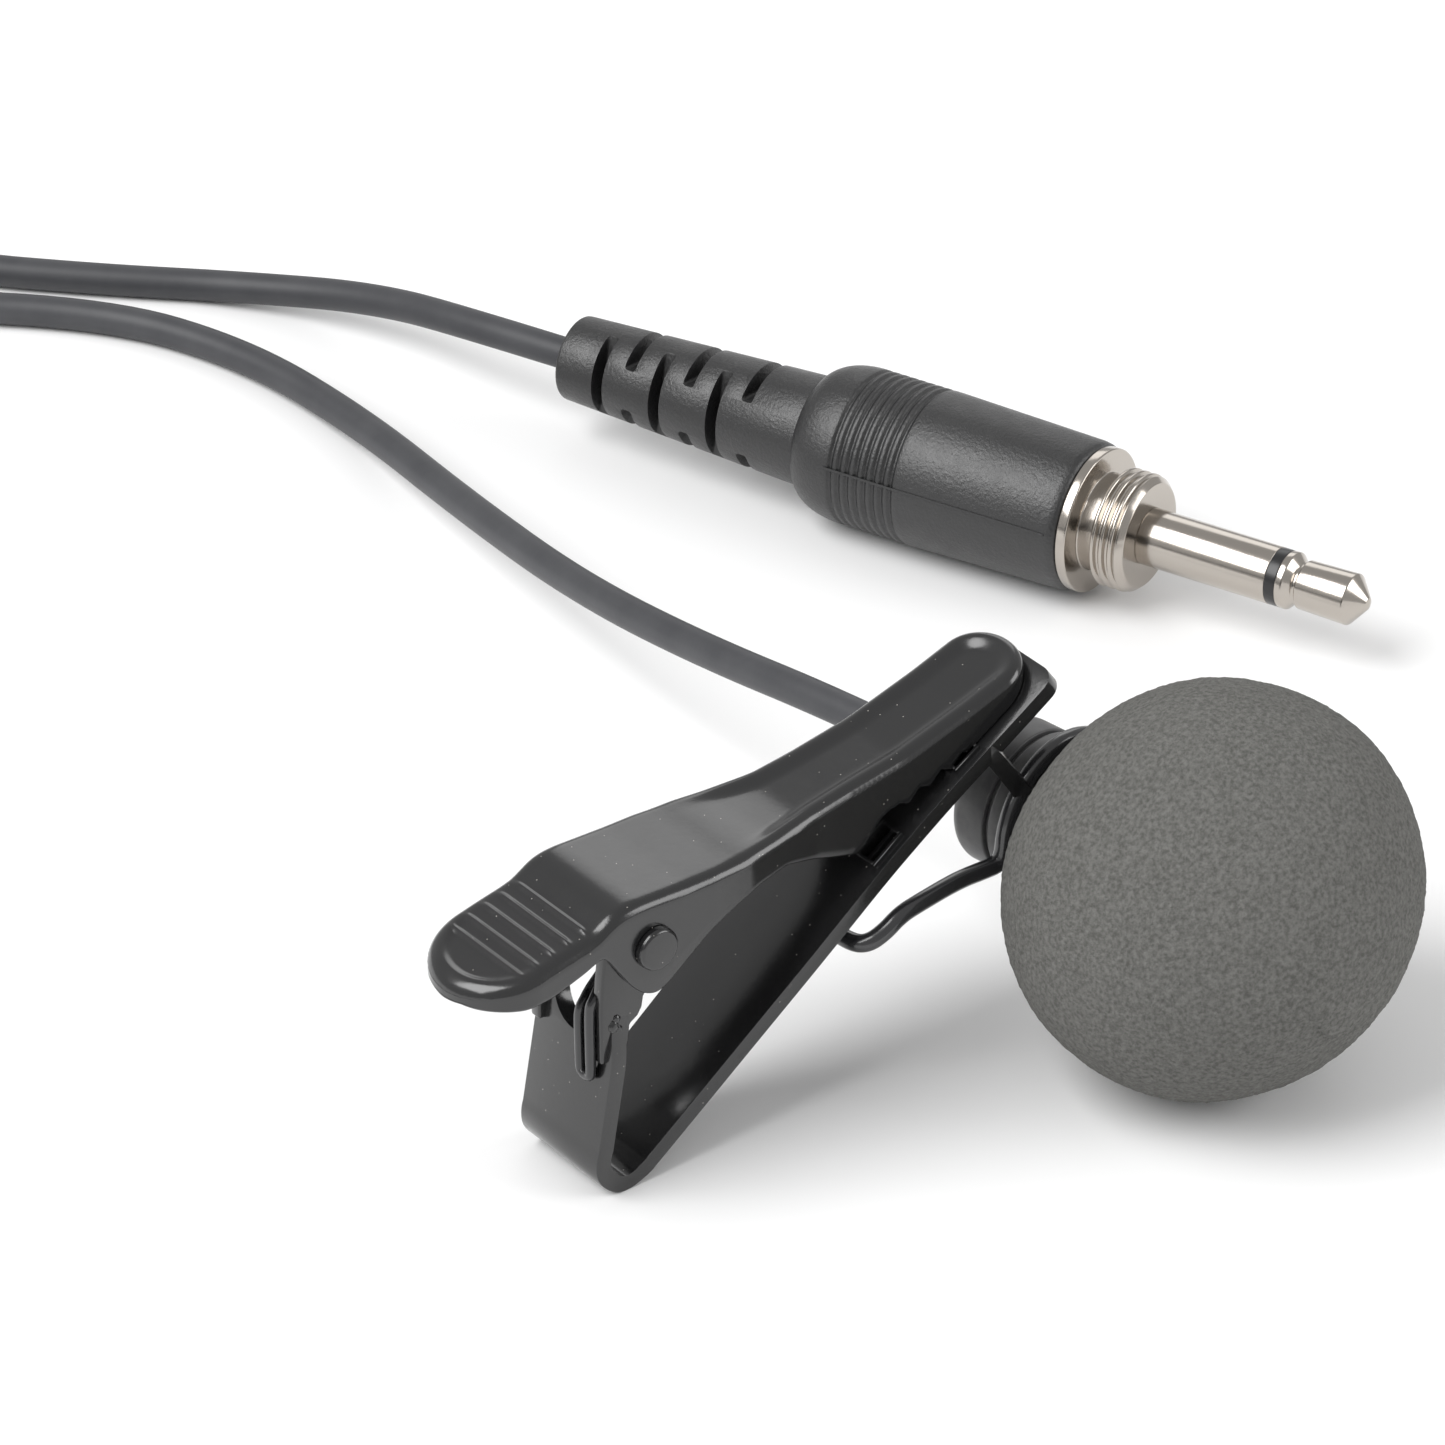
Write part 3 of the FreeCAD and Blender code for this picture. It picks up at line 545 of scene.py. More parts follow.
def extruded(name, outline, low, high, place, mat):
    """A flat plate with an (x, z) outline."""
    count = len(outline)
    verts = [(x, low, z) for x, z in outline] + [(x, high, z) for x, z in outline]
    faces = [tuple(range(count)), tuple(range(2 * count - 1, count - 1, -1))]
    faces += [(i, (i + 1) % count, count + (i + 1) % count, count + i) for i in range(count)]
    return mesh_object(name, verts, faces, place, mat)


def rod(name, start, end, radius, place, mat, steps=40):
    start, end = Vector(start), Vector(end)
    spot = place @ Matrix.Translation(start) @ UP.rotation_difference(end - start).to_matrix().to_4x4()
    length = (end - start).length
    return lathe(name, [(0, 0.001), (0, radius), (length, radius), (length, 0.001)], spot, mat, 0.06, steps)


def burr(spot, size):
    """A little lump of paint where a pressing's edge was sheared."""
    work = bmesh.new()
    bmesh.ops.create_icosphere(work, subdivisions=3, radius=1.0)
    verts = []
    for vert in work.verts:
        swell = 1 + 0.35 * noise.noise(vert.co * 1.3 + spot)
        verts.append(spot + Vector((vert.co.x, 0.6 * vert.co.y, vert.co.z)) * size * swell)
    faces = [tuple(v.index for v in face.verts) for face in work.faces]
    work.free()
    return mesh_object("burr", verts, faces, CLIP_PLACE, BLACK_PAINT, 80)


def clip_frame():
    sheet = frame_sheet()
    (first_at, first_long, first_low, first_high), second = WINDOWS
    slit, above, below = 0.5, -1, 0.8
    windows = [strip_block(first_at, first_long, first_low, first_low + slit, above, below),
               strip_block(first_at, first_long, first_high - slit, first_high, above, below),
               strip_block(*second, above, below)]
    arch = rod("arch", (-3, 0, 11.0), (4, 0, 11.0), 2.0, CLIP_PLACE, BLACK_PAINT, 48)
    sheet = carved(sheet, [*windows, arch])
    sheet = bevelled(sheet, 0.2, 3, 40)
    ear = [(-0.3, 8.4), (1.35, 8.4), (1.58, 9.4), (1.66, 10.3), (2.2, 10.65), (2.48, 11.1), (2.6, 11.8),
           (3.3, 12.3), (4.1, 13.4), (4.6, 14.5), (4.7, 15.3), (4.5, 16.2), (4.0, 16.9), (3.4, 17.2),
           (2.7, 17.3), (1.7, 17.1), (0.9, 16.5), (0.2, 15.6), (-0.05, 14.9), (-0.2, 13.6), (-0.32, 11.8)]
    pieces = [sheet]
    for side in (-1, 1):
        low, high = sorted((side * EAR_IN, side * EAR_OUT))
        pieces.append(bevelled(extruded("ear", ear, low, high, CLIP_PLACE, BLACK_PAINT), 0.16, 3, 40))
        for x, z, size in ((0.5, 10.6, 0.36), (0.72, 11.02, 0.27), (0.85, 10.35, 0.25)):
            pieces.append(burr(Vector((x, side * (EAR_OUT - 0.02), z)), size))
    for start, length, low, high in WINDOWS:
        rim, tall = 0.2, -0.22
        sides = [(start - rim, length + 2 * rim, low - rim, low),
                 (start - rim, length + 2 * rim, high, high + rim),
                 (start - rim, rim, low, high), (start + length, rim, low, high)]
        for first, span, left, right in sides:
            pieces.append(bevelled(strip_block(first, span, left, right, tall, 0.1), 0.05, 2, 40))
    loop = [(18.9, 2.2), (19.0, 3.2), (19.6, 3.75), (20.3, 3.75), (20.9, 3.2), (21.0, 2.2)]
    loop_points = [strip_point(along, out, -1.8) for along, out in loop]
    pieces.append(ribbon("loop", loop_points, 1.3, 0.45, BLACK_PAINT))
    lug_points = [(25.9, -3.3, 18.5), (26.3, -3.58, 18.0), (26.9, -3.5, 17.1), (27.6, -3.5, 16.1),
                  (28.3, -3.5, 15.0), (28.5, -3.5, 14.7)]
    pieces.append(ribbon("lug", lug_points, 1.0, 0.45, BLACK_PAINT, flat=Vector((0.5, 1, 0.2))))
    return joined("clip_frame_look", pieces)


def ribbon(name, points, width, thick, mat, flat=None):
    """A flat strap along a smooth path; `flat` is roughly the way its broad face looks."""
    path = [Vector(p) for p in points]
    for _ in range(3):
        finer = [path[0]]
        for a, b in zip(path, path[1:]):
            finer += [a.lerp(b, 0.25), a.lerp(b, 0.75)]
        path = [*finer, path[-1]]
    verts = []
    for index, spot in enumerate(path):
        ahead = (path[min(index + 1, len(path) - 1)] - path[max(index - 1, 0)]).normalized()
        if flat is None:
            across = Vector((0, 1, 0))
        else:
            across = ahead.cross(flat).normalized()
        out = across.cross(ahead).normalized()
        for w, t in ((-1, -1), (1, -1), (1, 1), (-1, 1)):
            verts.append(spot + across * (w * width / 2) + out * (t * thick / 2))
    return bevelled(mesh_object(name, verts, bar_faces(len(path)), CLIP_PLACE, mat), 0.12, 3, 50)


stands_for(clip_frame(), "clip", "black_steel", "clip_frame")

# ---- Lever ----
# Heights of its top and of its side walls' lower edge, from the thumb pad to the tip
LEVER_TOP = [(-8.4, 15.45), (-7.9, 15.78), (-7.0, 15.95), (-5.5, 16.25), (-3.4, 16.75), (-1.5, 17.15),
             (-0.8, 17.4), (-0.1, 17.9), (0.6, 18.2), (1.6, 18.3), (3.3, 18.25), (5.0, 18.2),
             (8.2, 18.2), (11.4, 18.35), (14.0, 18.6), (16.2, 18.95), (20.8, 19.75), (25.4, 21.1),
             (28.6, 22.2), (30.2, 22.7)]
LEVER_LOW = [(-8.9, 14.75), (-7.9, 14.5), (-5.7, 14.45), (-3.9, 14.7), (-1.9, 15.35), (-0.75, 15.85),
             (-0.35, 15.6), (0.1, 14.95), (0.9, 13.75), (1.4, 13.05), (2.2, 12.4), (3.0, 12.22),
             (3.7, 12.6), (4.4, 13.15), (5.3, 13.85), (6.5, 14.75), (7.9, 15.4), (9.9, 16.1),
             (12.2, 16.35), (14.0, 15.8), (15.3, 15.35), (17.3, 14.75), (17.9, 15.0), (18.8, 16.1),
             (19.3, 16.55), (21.0, 17.1), (22.9, 17.85), (24.15, 18.25), (25.4, 18.75),
             (27.3, 19.45), (30.2, 20.6)]
LEVER_HALF, JAW_HALF, THUMB_ROUND, TIP_ROUND, LEVER_WALL = 4.0, 2.8, 3.75, 2.3, 0.6
RIBS = [-5.5, -4.5, -3.42, -2.33, -1.25]
WALL_ROWS = 7


def half_width(x, inset=0.0):
    """Half the plan's width at x, of the outline or of one drawn in from it."""
    start, end = LEVER_TOP[0][0] + inset, LEVER_TOP[-1][0] - inset
    halves = [LEVER_HALF, LEVER_HALF * 0.95, JAW_HALF * 1.2, JAW_HALF * 1.04, JAW_HALF]
    base = float(np.interp(x, [7.0, 9.5, 12.0, 14.5, 17.0], halves)) - inset
    thumb, tip = THUMB_ROUND - inset, TIP_ROUND - inset
    if x < start + thumb:
        base *= math.sqrt(max(0, 1 - (1 - (x - start) / thumb) ** 2))
    if x > end - tip:
        base *= math.sqrt(max(0, 1 - (1 - (end - x) / tip) ** 2))
    return base


def strip_top(x):
    """The height of the strip's inner face at x."""
    along = (x - BEND.x) / math.cos(STRIP_ANGLE)
    for _ in range(4):
        spot = strip_point(along, BEND_OUT - SHEET, 0)
        along += (x - spot.x) / math.cos(STRIP_ANGLE)
    return spot.z


def wall_edge(x):
    """The height of the side walls' lower edge: round the pin, then close over the strip, with teeth."""
    edge = eased(LEVER_LOW, x, 0.3)
    if x < 19:
        return edge
    tooth = 1 - 2 * abs(((x - 20.3) / 1.45) % 1 - 0.5)
    edge -= 0.5 * tooth * ramp(x, 19.8, 20.6) * (1 - ramp(x, 27.4, 28.4))
    return max(edge, strip_top(x) + 0.04)


def plan_outline(inset):
    """Points close together along the edge of the plan."""
    start, end = LEVER_TOP[0][0] + inset, LEVER_TOP[-1][0] - inset
    thumb, tip = THUMB_ROUND - inset, TIP_ROUND - inset
    turns = np.linspace(0, math.pi / 2, 140)
    xs = [start + thumb * (1 - math.cos(a)) for a in turns]
    xs += list(np.linspace(start + thumb, end - tip, 600))
    xs += [end - tip * (1 - math.sin(a)) for a in turns]
    edge = np.array([(x, half_width(x, inset)) for x in xs])
    return np.vstack([edge, edge * np.array([1, -1])])


def lever_skin(inset, corner):
    """Rows of points across the lever, each up one wall, over the top and down the other."""
    start, end = LEVER_TOP[0][0] + inset, LEVER_TOP[-1][0] - inset
    xs = [start + 1.2 * (1 - math.cos(a)) for a in np.linspace(0, math.pi / 2, 20)]
    xs += list(np.linspace(start + 1.25, -0.5, 130)) + list(np.linspace(-0.4, 17.0, 80))
    xs += list(np.linspace(17.1, end - 1.0, 130))
    xs += [end - 0.95 * (1 - math.sin(a)) for a in np.linspace(0, math.pi / 2, 20)]
    outline = plan_outline(inset)
    columns = [-math.sin(a) for a in np.linspace(math.pi / 2, -math.pi / 2, 41)]
    rows = []
    for x in xs:
        half = half_width(x, inset)
        top = eased(LEVER_TOP, x, 0.45) - inset
        low = min(wall_edge(x), top - corner - 0.3)
        wall = [(min(tuck, half), low + lift) for tuck, lift in ((0.14, 0.0), (0.05, 0.04), (0.0, 0.14))]
        straight = top - corner - low
        wall += [(0.0, low + straight * share) for share in np.linspace(0.25, 1, WALL_ROWS)[:-1]]
        wall = [(tuck * (-1 if inset else 1), z) for tuck, z in wall]
        row = [(x, tuck - half, z) for tuck, z in wall]
        for column in columns:
            y = half * column
            edge = 0.0
            if abs(column) < 0.9999:
                edge = float(np.hypot(outline[:, 0] - x, outline[:, 1] - y).min())
            drop = corner - math.sqrt(max(corner ** 2 - max(corner - edge, 0) ** 2, 0))
            relief = 0.0
            if not inset:
                relief -= 0.3 * ramp(edge, 0.6, 1.6) * ramp(x, 9.0, 14.0)
                relief -= 0.14 * ramp(edge, 0.75, 1.25) * ramp(-x, 3.5, 6.5)
                rib = sum(math.exp(-((x - place) / 0.17) ** 2) for place in RIBS)
                relief += 0.15 * rib * ramp(edge, 0.5, 1.4)
            row.append((x, y, top - drop + relief))
        row += [(x, half - tuck, z) for tuck, z in reversed(wall)]
        rows.append(row)
    return rows


def lever():
    outer = lever_skin(0.0, 0.75)
    inner = lever_skin(LEVER_WALL, 0.3)
    wide, deep = len(outer[0]), len(outer)
    verts = [v for row in outer + inner for v in row]
    faces = []
    for layer in (0, deep * wide):
        for i in range(deep - 1):
            for j in range(wide - 1):
                quad = [i * wide + j, (i + 1) * wide + j, (i + 1) * wide + j + 1, i * wide + j + 1]
                faces.append(tuple(layer + k for k in (quad if layer == 0 else quad[::-1])))
    for i in range(deep - 1):
        for j in (0, wide - 1):
            a, b = i * wide + j, (i + 1) * wide + j
            faces.append((a, b, b + deep * wide, a + deep * wide))
    skin = mesh_object("lever_look", verts, faces, CLIP_PLACE, BLACK_PAINT, 60)
    hole = rod("hole", PIVOT + Vector((0, -5, 0)), PIVOT + Vector((0, 5, 0)), 0.84, CLIP_PLACE, BLACK_PAINT)
    return carved(skin, [hole], 50)


stands_for(lever(), "lever", "black_steel", "clip_lever")


# ---- Rivet ----
def rivet():
    reach, head, wall, proud = LEVER_HALF + 0.04, 1.28, 0.28, 0.52
    rim = [(reach, 0.8), (reach, head), (reach + wall, head - 0.02)]
    rim += [(reach + wall + (proud - wall) * math.sin(a), (head - 0.25) + 0.22 * math.cos(a))
            for a in np.linspace(0.15, math.pi / 2, 6)]
    rim += [(reach + proud + 0.03, 0.5), (reach + proud + 0.04, 0.001)]
    profile = [(-along, out) for along, out in reversed(rim)] + rim
    spot = CLIP_PLACE @ Matrix.Translation(PIVOT) @ Matrix.Rotation(math.radians(-90), 4, "X")
    return lathe("rivet_look", profile, spot, BLACK_PAINT, 0.04, 64, 35)


stands_for(rivet(), "clip", "black_steel", "pivot_rivet")


# ---- Torsion spring ----
def spring():
    """One wire: a short coil, down to the hairpin on the riser, up to the main coil, then under the pad."""
    wire, mean = 0.3, 1.5
    near_y, far_y = -2.5, -1.55
    per_turn, pitch = 20, 0.64
    drop = [(-0.5, 7.75), (-0.52, 8.6), (-0.54, 9.7), (-0.56, 11.3), (-0.5, 12.0), (-0.2, 12.4),
            (0.35, 12.65), (1.1, 13.05), (1.9, 13.5)]

    def coil(first, last, start_angle, turns):
        steps = int(turns * per_turn)
        for index in range(steps + 1):
            angle = start_angle + 2 * math.pi * index / per_turn
            y = first + (last - first) * index / steps
            yield PIVOT + Vector((mean * math.cos(angle), y, mean * math.sin(angle)))

    bottom = math.radians(-90)
    short = list(coil(-2.02, -2.02 + pitch * 0.9, bottom, 0.9))
    near_leg = [Vector((x, -2.05 if x > 0 else near_y, z)) for x, z in drop]
    middle = (near_y + far_y) / 2
    turn_round = [Vector((-0.49, near_y + 0.06, 7.42)), Vector((-0.49, middle, 7.28)),
                  Vector((-0.49, far_y - 0.06, 7.42))]
    far_leg = []
    for x, z in drop:
        lower = 0.65 * ramp(z, 9.5, 12.0) * (1 - ramp(x, 0.2, 1.9))
        far_leg.append(Vector((x, far_y + (0.3 if x > 0 else 0), z - lower)))
    first_y = far_y + 0.32
    last_y = first_y + pitch * 3
    main = list(coil(first_y, last_y, bottom, 3.5))
    over = [Vector((1.3, last_y, 16.78)), Vector((-0.6, last_y, 16.3)), Vector((-3.5, last_y, 15.62))]
    path = [*reversed(short), *reversed(near_leg), *turn_round, *far_leg, *main, *over]
    tube = nurbs_tube("spring wire", path, wire, SPRING, CLIP_PLACE, 5, 5)
    return joined("spring_look", [as_mesh(tube, 50)], 50)


spring_look = spring()
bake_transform(spring_look)
stands_for(spring_look, None, "spring_steel", "torsion_spring")


# ---- Wire holder ----
def wire_look():
    radius, ring = 0.52, 4.76
    level = Vector((-MIC_AXIS.y, MIC_AXIS.x, 0))
    centre = MIC - MIC_AXIS * RING_STATION
    shift = Vector((-CLIP_BACK, CLIP_ASIDE, 0))

    def on_ring(degrees):
        angle = math.radians(degrees)
        return centre + level * (ring * math.cos(angle)) + UP * (ring * math.sin(angle))

    join = on_ring(180)
    foot = join - shift
    points = [Vector((16.9, 2.2, 9.3)), Vector((16.9, -1.0, 9.3)), Vector((16.95, -2.9, 9.3)),
              Vector((17.4, -3.75, 9.45)), Vector((18.4, -3.95, 9.9)), Vector((19.5, -3.95, 10.6)),
              Vector((20.7, -3.95, 10.85)), Vector((24.0, foot.y - 0.02, 10.8)),
              Vector((25.8, foot.y, 10.72)), Vector((26.85, foot.y, 10.72)), Vector((27.2, foot.y, 11.3))]
    points = [p + shift for p in points]
    points += [on_ring(170 - 15 * step) for step in range(0, 22)]
    return nurbs_tube("wire_look", points, radius, BLACK_WIRE, sides=8, resolution=8)


stands_for(wire_look(), "clip", "black_wire", "wire_holder")


# ---- Microphone, along its axis from the middle of the foam ----
def mic_barrel():
    skin, neck, bore = 4.3, 4.05, 3.9
    seat = 0.14
    rim = [(-13.1, 1.2), (-13.1, neck), (-12.75, neck), (-12.75, skin), (-11.75, skin),
           (-11.65, skin - seat), (-10.55, skin - seat), (-10.45, skin), (1.0, skin), (1.0, bore),
           (-12.5, bore), (-12.5, 1.2), (-13.1, 1.2)]
    return lathe("mic_barrel_look", rim, MIC_PLACE, MIC_SHELL, 0.12, 128)


def mic_cap():
    skin, room = 4.3, 3.45
    rim = [(-15.6, 1.72), (-15.6, 3.75), (-15.35, 4.15), (-15.0, skin), (-13.1, skin), (-13.1, room),
           (-14.8, room), (-14.8, 1.72), (-15.6, 1.72)]
    return lathe("mic_cap_look", rim, MIC_PLACE, MIC_SHELL, 0.14, 128)


def bush():
    rim = [(-BUSH_END, 0.001), (-BUSH_END, 1.55), (-15.6, 1.7), (-14.0, 1.7), (-14.0, 0.001)]
    return lathe("bush_look", rim, MIC_PLACE, RUBBER, 0.18, 64)


stands_for(mic_barrel(), "mic", "mic_shell", "mic_barrel")
stands_for(mic_cap(), "mic", "mic_shell", "mic_rear_cap")
stands_for(bush(), "mic", "soft_rubber", "cord_bush")


# ---- Foam windscreen ----
SQUEEZE = 0.27  # how much the ball is drawn out one way and pressed in the other


def foam():
    """A slightly squeezed ball; its rear cap is folded in to make the flat mouth and the blind bore."""
    ball, mouth, bore, bore_end = 11.55, 9.15, 4.33, 1.6
    rim = math.sqrt(ball ** 2 - mouth ** 2)
    cap_angle = math.acos(mouth / ball)
    profile = softened([(bore_end, 0), (bore_end, bore), (-mouth, bore), (-mouth, rim),
                        (-ball * math.cos(cap_angle + 0.12), ball * math.sin(cap_angle + 0.12))], 0.45, 6)
    spots = np.array(profile[:-1])
    travel = np.concatenate([[0], np.cumsum(np.linalg.norm(np.diff(spots, axis=0), axis=1))])
    travel /= travel[-1]
    last_angle = math.atan2(spots[-1][1], -spots[-1][0])
    work = bmesh.new()
    bmesh.ops.create_icosphere(work, subdivisions=7, radius=1.0)
    for vert in work.verts:
        along, out = vert.co.z, math.hypot(vert.co.x, vert.co.y)
        angle = math.atan2(out, -along)
        if angle < last_angle:
            share = angle / last_angle
            s = float(np.interp(share, travel, spots[:, 0]))
            r = float(np.interp(share, travel, spots[:, 1]))
        else:
            s, r = -ball * math.cos(angle), ball * math.sin(angle)
        scale = r / out if out > 1e-9 else 0
        vert.co = Vector((vert.co.x * scale, vert.co.y * scale, s))
    work.normal_update()
    axes = MIC_PLACE.to_3x3()
    long_way = (RIGHT + look_up).normalized()
    short_way = (look_up - RIGHT).normalized()
    for vert in work.verts:
        if vert.co.z > -mouth - 0.5 and math.hypot(vert.co.x, vert.co.y) < bore + 0.05:
            continue
        place = vert.co
        out_dir = (axes @ place).normalized()
        wide = noise.noise(place * 0.16) * 0.09
        wide += SQUEEZE * (out_dir.dot(long_way) ** 2 - out_dir.dot(short_way) ** 2)
        cells = noise.noise(place * 1.7 + Vector((5, 2, 9))) * 0.05
        fine = noise.noise(place * 3.6 + Vector((1, 7, 3))) * 0.05
        vert.co = place + vert.normal * (wide + cells + fine)
    mesh = bpy.data.meshes.new("foam_look")
    spot = MIC_PLACE.copy()
    spot.translation = MIC_PLACE.translation * MM
    work.transform(Matrix.Scale(MM, 4))
    work.transform(spot)
    bmesh.ops.recalc_face_normals(work, faces=work.faces)
    work.to_mesh(mesh)
    work.free()
    mesh.materials.append(FOAM_SKIN)
    obj = linked("foam_look", mesh)
    for face in mesh.polygons:
        face.use_smooth = True
    return obj


foam_look = stands_for(foam(), "foam", "foam", "foam_windscreen")

# ---- Plug, along its axis from the cord end of the relief ----
RELIEF_LENGTH, RELIEF_REAR, RELIEF_FRONT = 17.5, 2.65, 3.5
BODY_LENGTH, BODY_REAR, BODY_FRONT = 18.8, 4.85, 4.6
BODY_END = RELIEF_LENGTH + BODY_LENGTH
NECK_START = BODY_END + 0.65
THREAD_START = NECK_START + 1.05
FACE = THREAD_START + 2.25
SLEEVE_END = FACE + 8.65
TIP_START = SLEEVE_END + 0.7
PLUG_ROLL = Matrix.Rotation(math.radians(-11), 4, "Z")


def flash(profile):
    """The fine seam a two-part mould leaves along both sides."""
    proud, sunk, half = 0.055, 0.2, 0.07
    pieces = []
    for side in (-1, 1):
        verts = []
        for along, out in profile:
            low, high = out - sunk, out + proud
            for reach, across in ((low, -half), (high, -half), (high, half), (low, half)):
                verts.append(PLUG_ROLL @ Vector((side * reach, across, along)))
        pieces.append(mesh_object("flash", verts, bar_faces(len(profile)), PLUG_PLACE, PLUG_PLASTIC))
    return pieces


def plug_relief():
    end = RELIEF_LENGTH + 0.4
    taper = [(0, 0.001), (0, RELIEF_REAR), (end, RELIEF_FRONT), (end, 0.001)]
    sleeve = lathe("relief", taper, PLUG_PLACE, PLUG_PLASTIC, 0.25, 96)
    slot, depth = 0.78, 1.6
    rolled = PLUG_PLACE @ PLUG_ROLL
    cuts = []
    for pair in range(3):
        for index in (0, 1):
            start = 2.75 + 4.2 * pair + 2.1 * index
            radius = RELIEF_REAR + (RELIEF_FRONT - RELIEF_REAR) * start / RELIEF_LENGTH
            for side in (-1, 1):
                low, high = sorted((side * (radius - depth), side * 6))
                if index == 0:
                    box = block((low, -5, start), (high, 5, start + slot), rolled, PLUG_PLASTIC)
                else:
                    box = block((-5, low, start), (5, high, start + slot), rolled, PLUG_PLASTIC)
                cuts.append(bevelled(box, 0.2, 3, 30))
    carved(sleeve, cuts)
    bevelled(sleeve, 0.09, 2, 40)
    return joined("plug_relief_look", [sleeve])


def plug_body():
    dome, grooves, pitch, deep = 2.9, 8, 0.6, 0.15
    start = RELIEF_LENGTH
    profile = [(start, 1.2), (start, RELIEF_FRONT)]
    for angle in np.linspace(0.0, math.pi / 2, 14)[1:]:
        profile.append((start + dome * (1 - math.cos(angle)),
                        RELIEF_FRONT + (BODY_REAR - RELIEF_FRONT) * math.sin(angle)))
    band = start + dome + 0.5
    for index in range(grooves):
        middle = band + pitch * index
        for step in range(-4, 5):
            share = step / 4
            fall = deep * 0.5 * (1 + math.cos(math.pi * share))
            profile.append((middle + 0.24 * share, BODY_REAR - 0.003 - fall))
    plain = [(band + pitch * grooves, BODY_REAR), (BODY_END - 0.7, BODY_FRONT + 0.03)]
    front = [(BODY_END - 0.32, BODY_FRONT - 0.03), (BODY_END - 0.08, BODY_FRONT - 0.2),
             (BODY_END, BODY_FRONT - 0.42), (BODY_END, 3.1), (start + 1.0, 3.1), (start + 1.0, 1.2),
             (start, 1.2)]
    shell = lathe("body", profile + plain + front, PLUG_PLACE, PLUG_PLASTIC, 0, 144, 50)
    seam = flash([(start + dome + 0.1, BODY_REAR), *plain])
    return joined("plug_body_look", [shell, *seam], 50)


def plug_collar():
    bore, neck, thread, flange = 1.35, 3.0, 3.65, 4.45
    rim = [(BODY_END, bore), (BODY_END, flange), (NECK_START, flange), (NECK_START, neck),
           (THREAD_START, neck)]
    for index in range(3):
        low = THREAD_START + 0.08 + 0.6 * index
        rim += [(low, thread - 0.28), (low + 0.14, thread), (low + 0.3, thread),
                (low + 0.44, thread - 0.28)]
    rim += [(FACE - 0.42, thread - 0.05), (FACE - 0.02, thread - 0.42), (FACE, thread - 0.5), (FACE, bore),
            (BODY_END, bore)]
    return lathe("plug_collar_look", rim, PLUG_PLACE, NICKEL, 0.12, 128)


def jack_sleeve():
    bore, shank, skin = 1.05, 1.35, 1.75
    rim = [(BODY_END - 2, bore), (BODY_END - 2, shank), (FACE, shank), (FACE, skin), (SLEEVE_END, skin),
           (SLEEVE_END, bore), (BODY_END - 2, bore)]
    return lathe("jack_sleeve_look", rim, PLUG_PLACE, NICKEL, 0.05, 96)


def jack_insulator():
    rod_radius, tube, skin = 0.6, 1.05, 1.74
    rim = [(BODY_END - 2.6, rod_radius), (BODY_END - 2.6, tube), (SLEEVE_END, tube), (SLEEVE_END, skin),
           (TIP_START, skin), (TIP_START, rod_radius), (BODY_END - 2.6, rod_radius)]
    return lathe("jack_insulator_look", rim, PLUG_PLACE, INSULATOR, 0.04, 96)


def jack_tip():
    full, rod_radius, end = 1.75, 0.6, TIP_START + 5.5
    neck = full - 0.55
    rear = BODY_END - 3.6
    rim = [(rear, 0.001), (rear, rod_radius), (TIP_START, rod_radius), (TIP_START, full),
           (TIP_START + 0.42, full), (TIP_START + 0.9, neck), (TIP_START + 1.08, neck),
           (TIP_START + 1.2, full - 0.25), (end - 1.1, full - 0.17), (end - 0.08, 0.36), (end, 0.001)]
    return lathe("jack_tip_look", rim, PLUG_PLACE, NICKEL, 0.07, 96, 25)


plug_looks = [
    stands_for(plug_relief(), "clip", "plug_plastic", "plug_relief"),
    stands_for(plug_body(), "clip", "plug_plastic", "plug_body"),
    stands_for(plug_collar(), "clip", "nickel", "plug_collar"),
    stands_for(jack_sleeve(), "clip", "nickel", "jack_sleeve"),
    stands_for(jack_insulator(), "clip", "black_insulator", "jack_insulator"),
    stands_for(jack_tip(), "clip", "nickel", "jack_tip"),
]

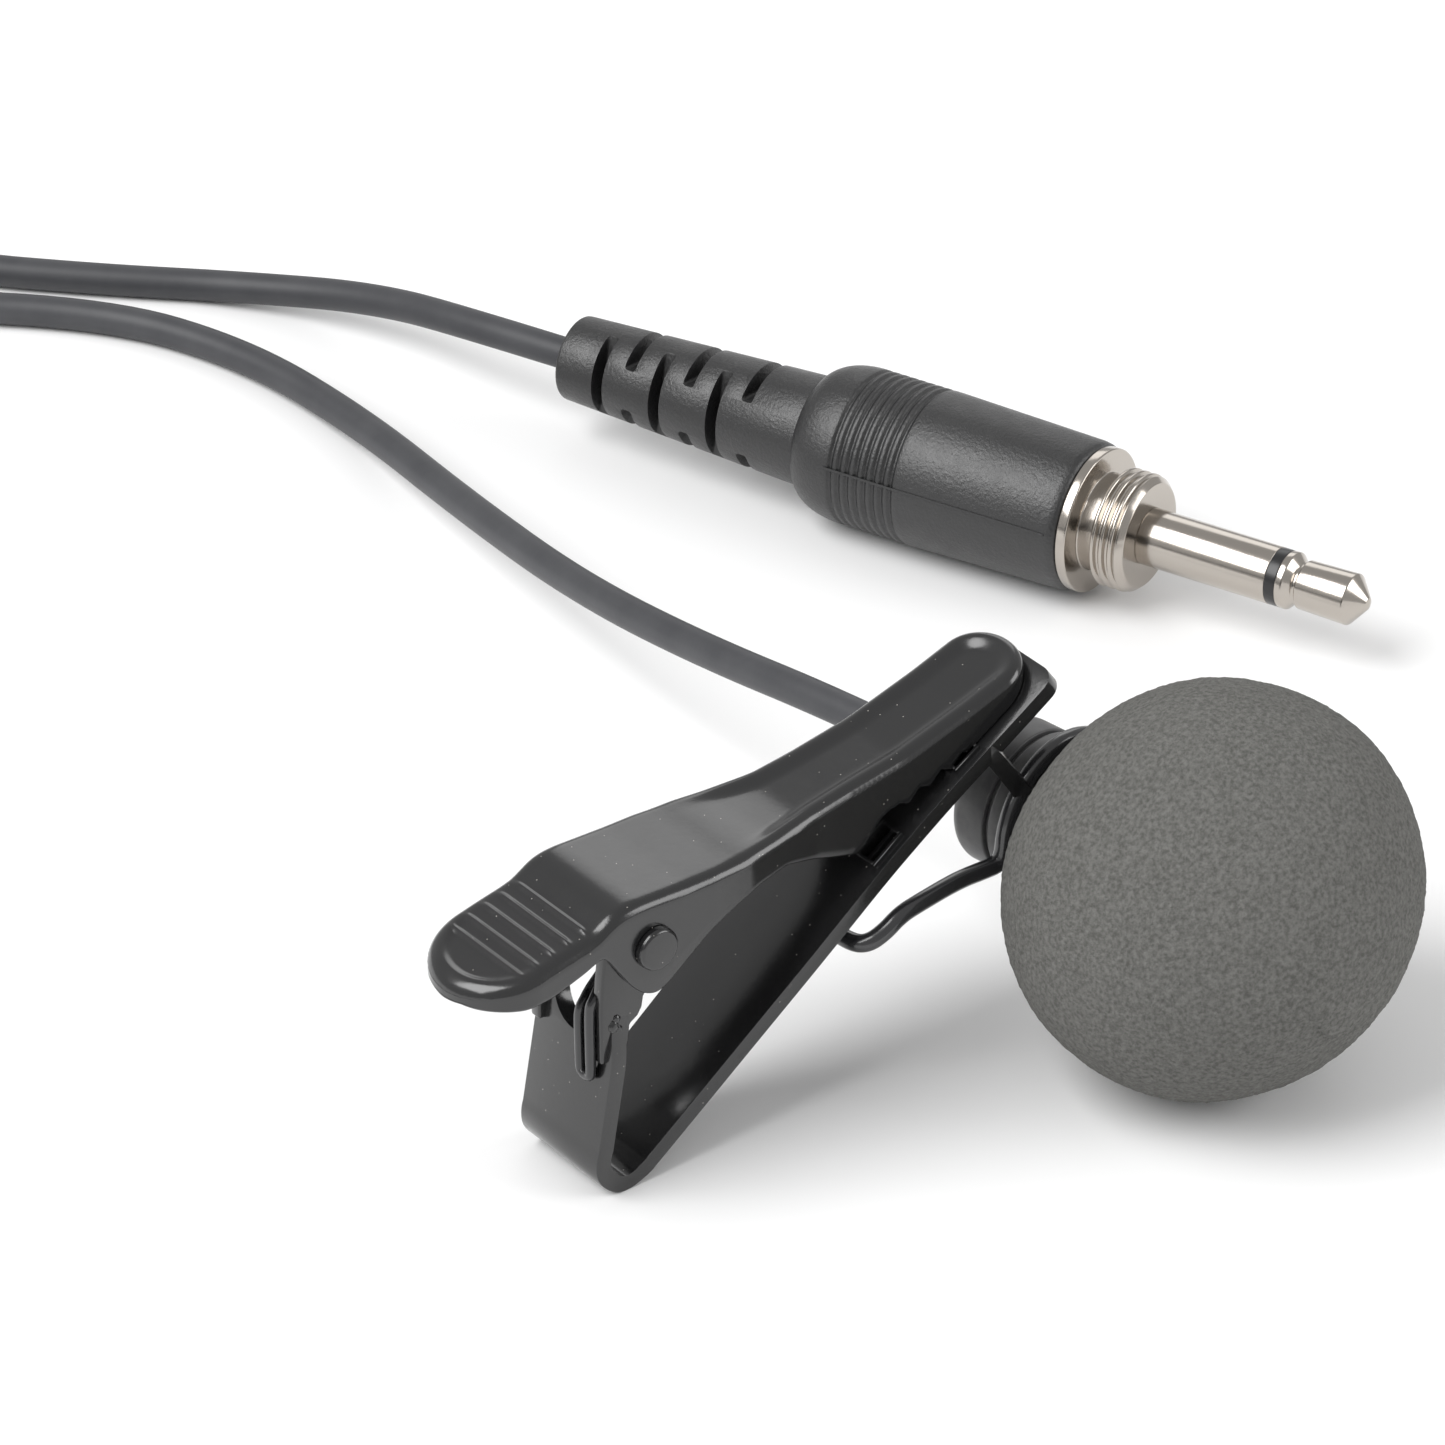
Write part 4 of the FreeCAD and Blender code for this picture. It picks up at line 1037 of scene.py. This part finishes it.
# ---- The nodes that are shown as the CAD drew them ----
CAD_FINISHES = {
    "mic_grille": MIC_SHELL,
    "dust_felt": FELT,
    "capsule_can": ALUMINIUM,
    "capsule_boot": RUBBER,
    "capsule_board": BOARD,
    "capsule_spacer": PLUG_PLASTIC,
    "capsule_lead_live": LEAD,
    "capsule_lead_ground": RUBBER,
    "rear_insulator": INSULATOR,
    "tip_tag": TIN,
    "ground_tag": TIN,
    "core_lead": LEAD,
    "screen_lead": RUBBER,
}
for obj in list(bpy.data.objects):
    node_name = obj.get("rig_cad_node")
    if node_name in CAD_FINISHES:
        obj.data.materials.clear()
        obj.data.materials.append(CAD_FINISHES[node_name])
        smooth(obj, 30)

# ---- Floor and light ----
floor_mat, _, floor_bsdf = nodes_of("floor")
floor_bsdf.inputs["Base Color"].default_value = (0.9, 0.9, 0.9, 1)
floor_bsdf.inputs["Roughness"].default_value = 0.9
floor_bsdf.inputs["Specular IOR Level"].default_value = 0.1
floor_mesh = bpy.data.meshes.new("floor")
floor_mesh.from_pydata([(-3, -3, 0), (3, -3, 0), (3, 3, 0), (-3, 3, 0)], [], [(0, 1, 2, 3)])
floor_mesh.materials.append(floor_mat)
floor = linked("floor", floor_mesh)

world = bpy.data.worlds.new("studio")
bpy.context.scene.world = world
world.use_nodes = True
world.node_tree.nodes["Background"].inputs["Color"].default_value = (1, 1, 1, 1)
world.node_tree.nodes["Background"].inputs["Strength"].default_value = 0.52
bpy.context.scene.view_settings.view_transform = "Standard"


def softbox(name, spot, target, size, power):
    data = bpy.data.lights.new(name, "AREA")
    data.shape = "RECTANGLE"
    data.size, data.size_y = size
    data.energy = power
    lamp = linked(name, data)
    lamp.location = spot
    lamp.rotation_euler = (Vector(target) - Vector(spot)).to_track_quat("-Z", "Y").to_euler()


softbox("key", (-0.54, 0.16, 0.66), (0.01, 0.03, 0), (0.65, 0.65), 7.5)
softbox("panel", (0.5, 0.53, 0.4), (0, 0, 0.015), (0.36, 0.34), 0.45)
softbox("fill", (0.62, -0.6, 0.42), (0, 0, 0.01), (0.6, 0.5), 3.5)
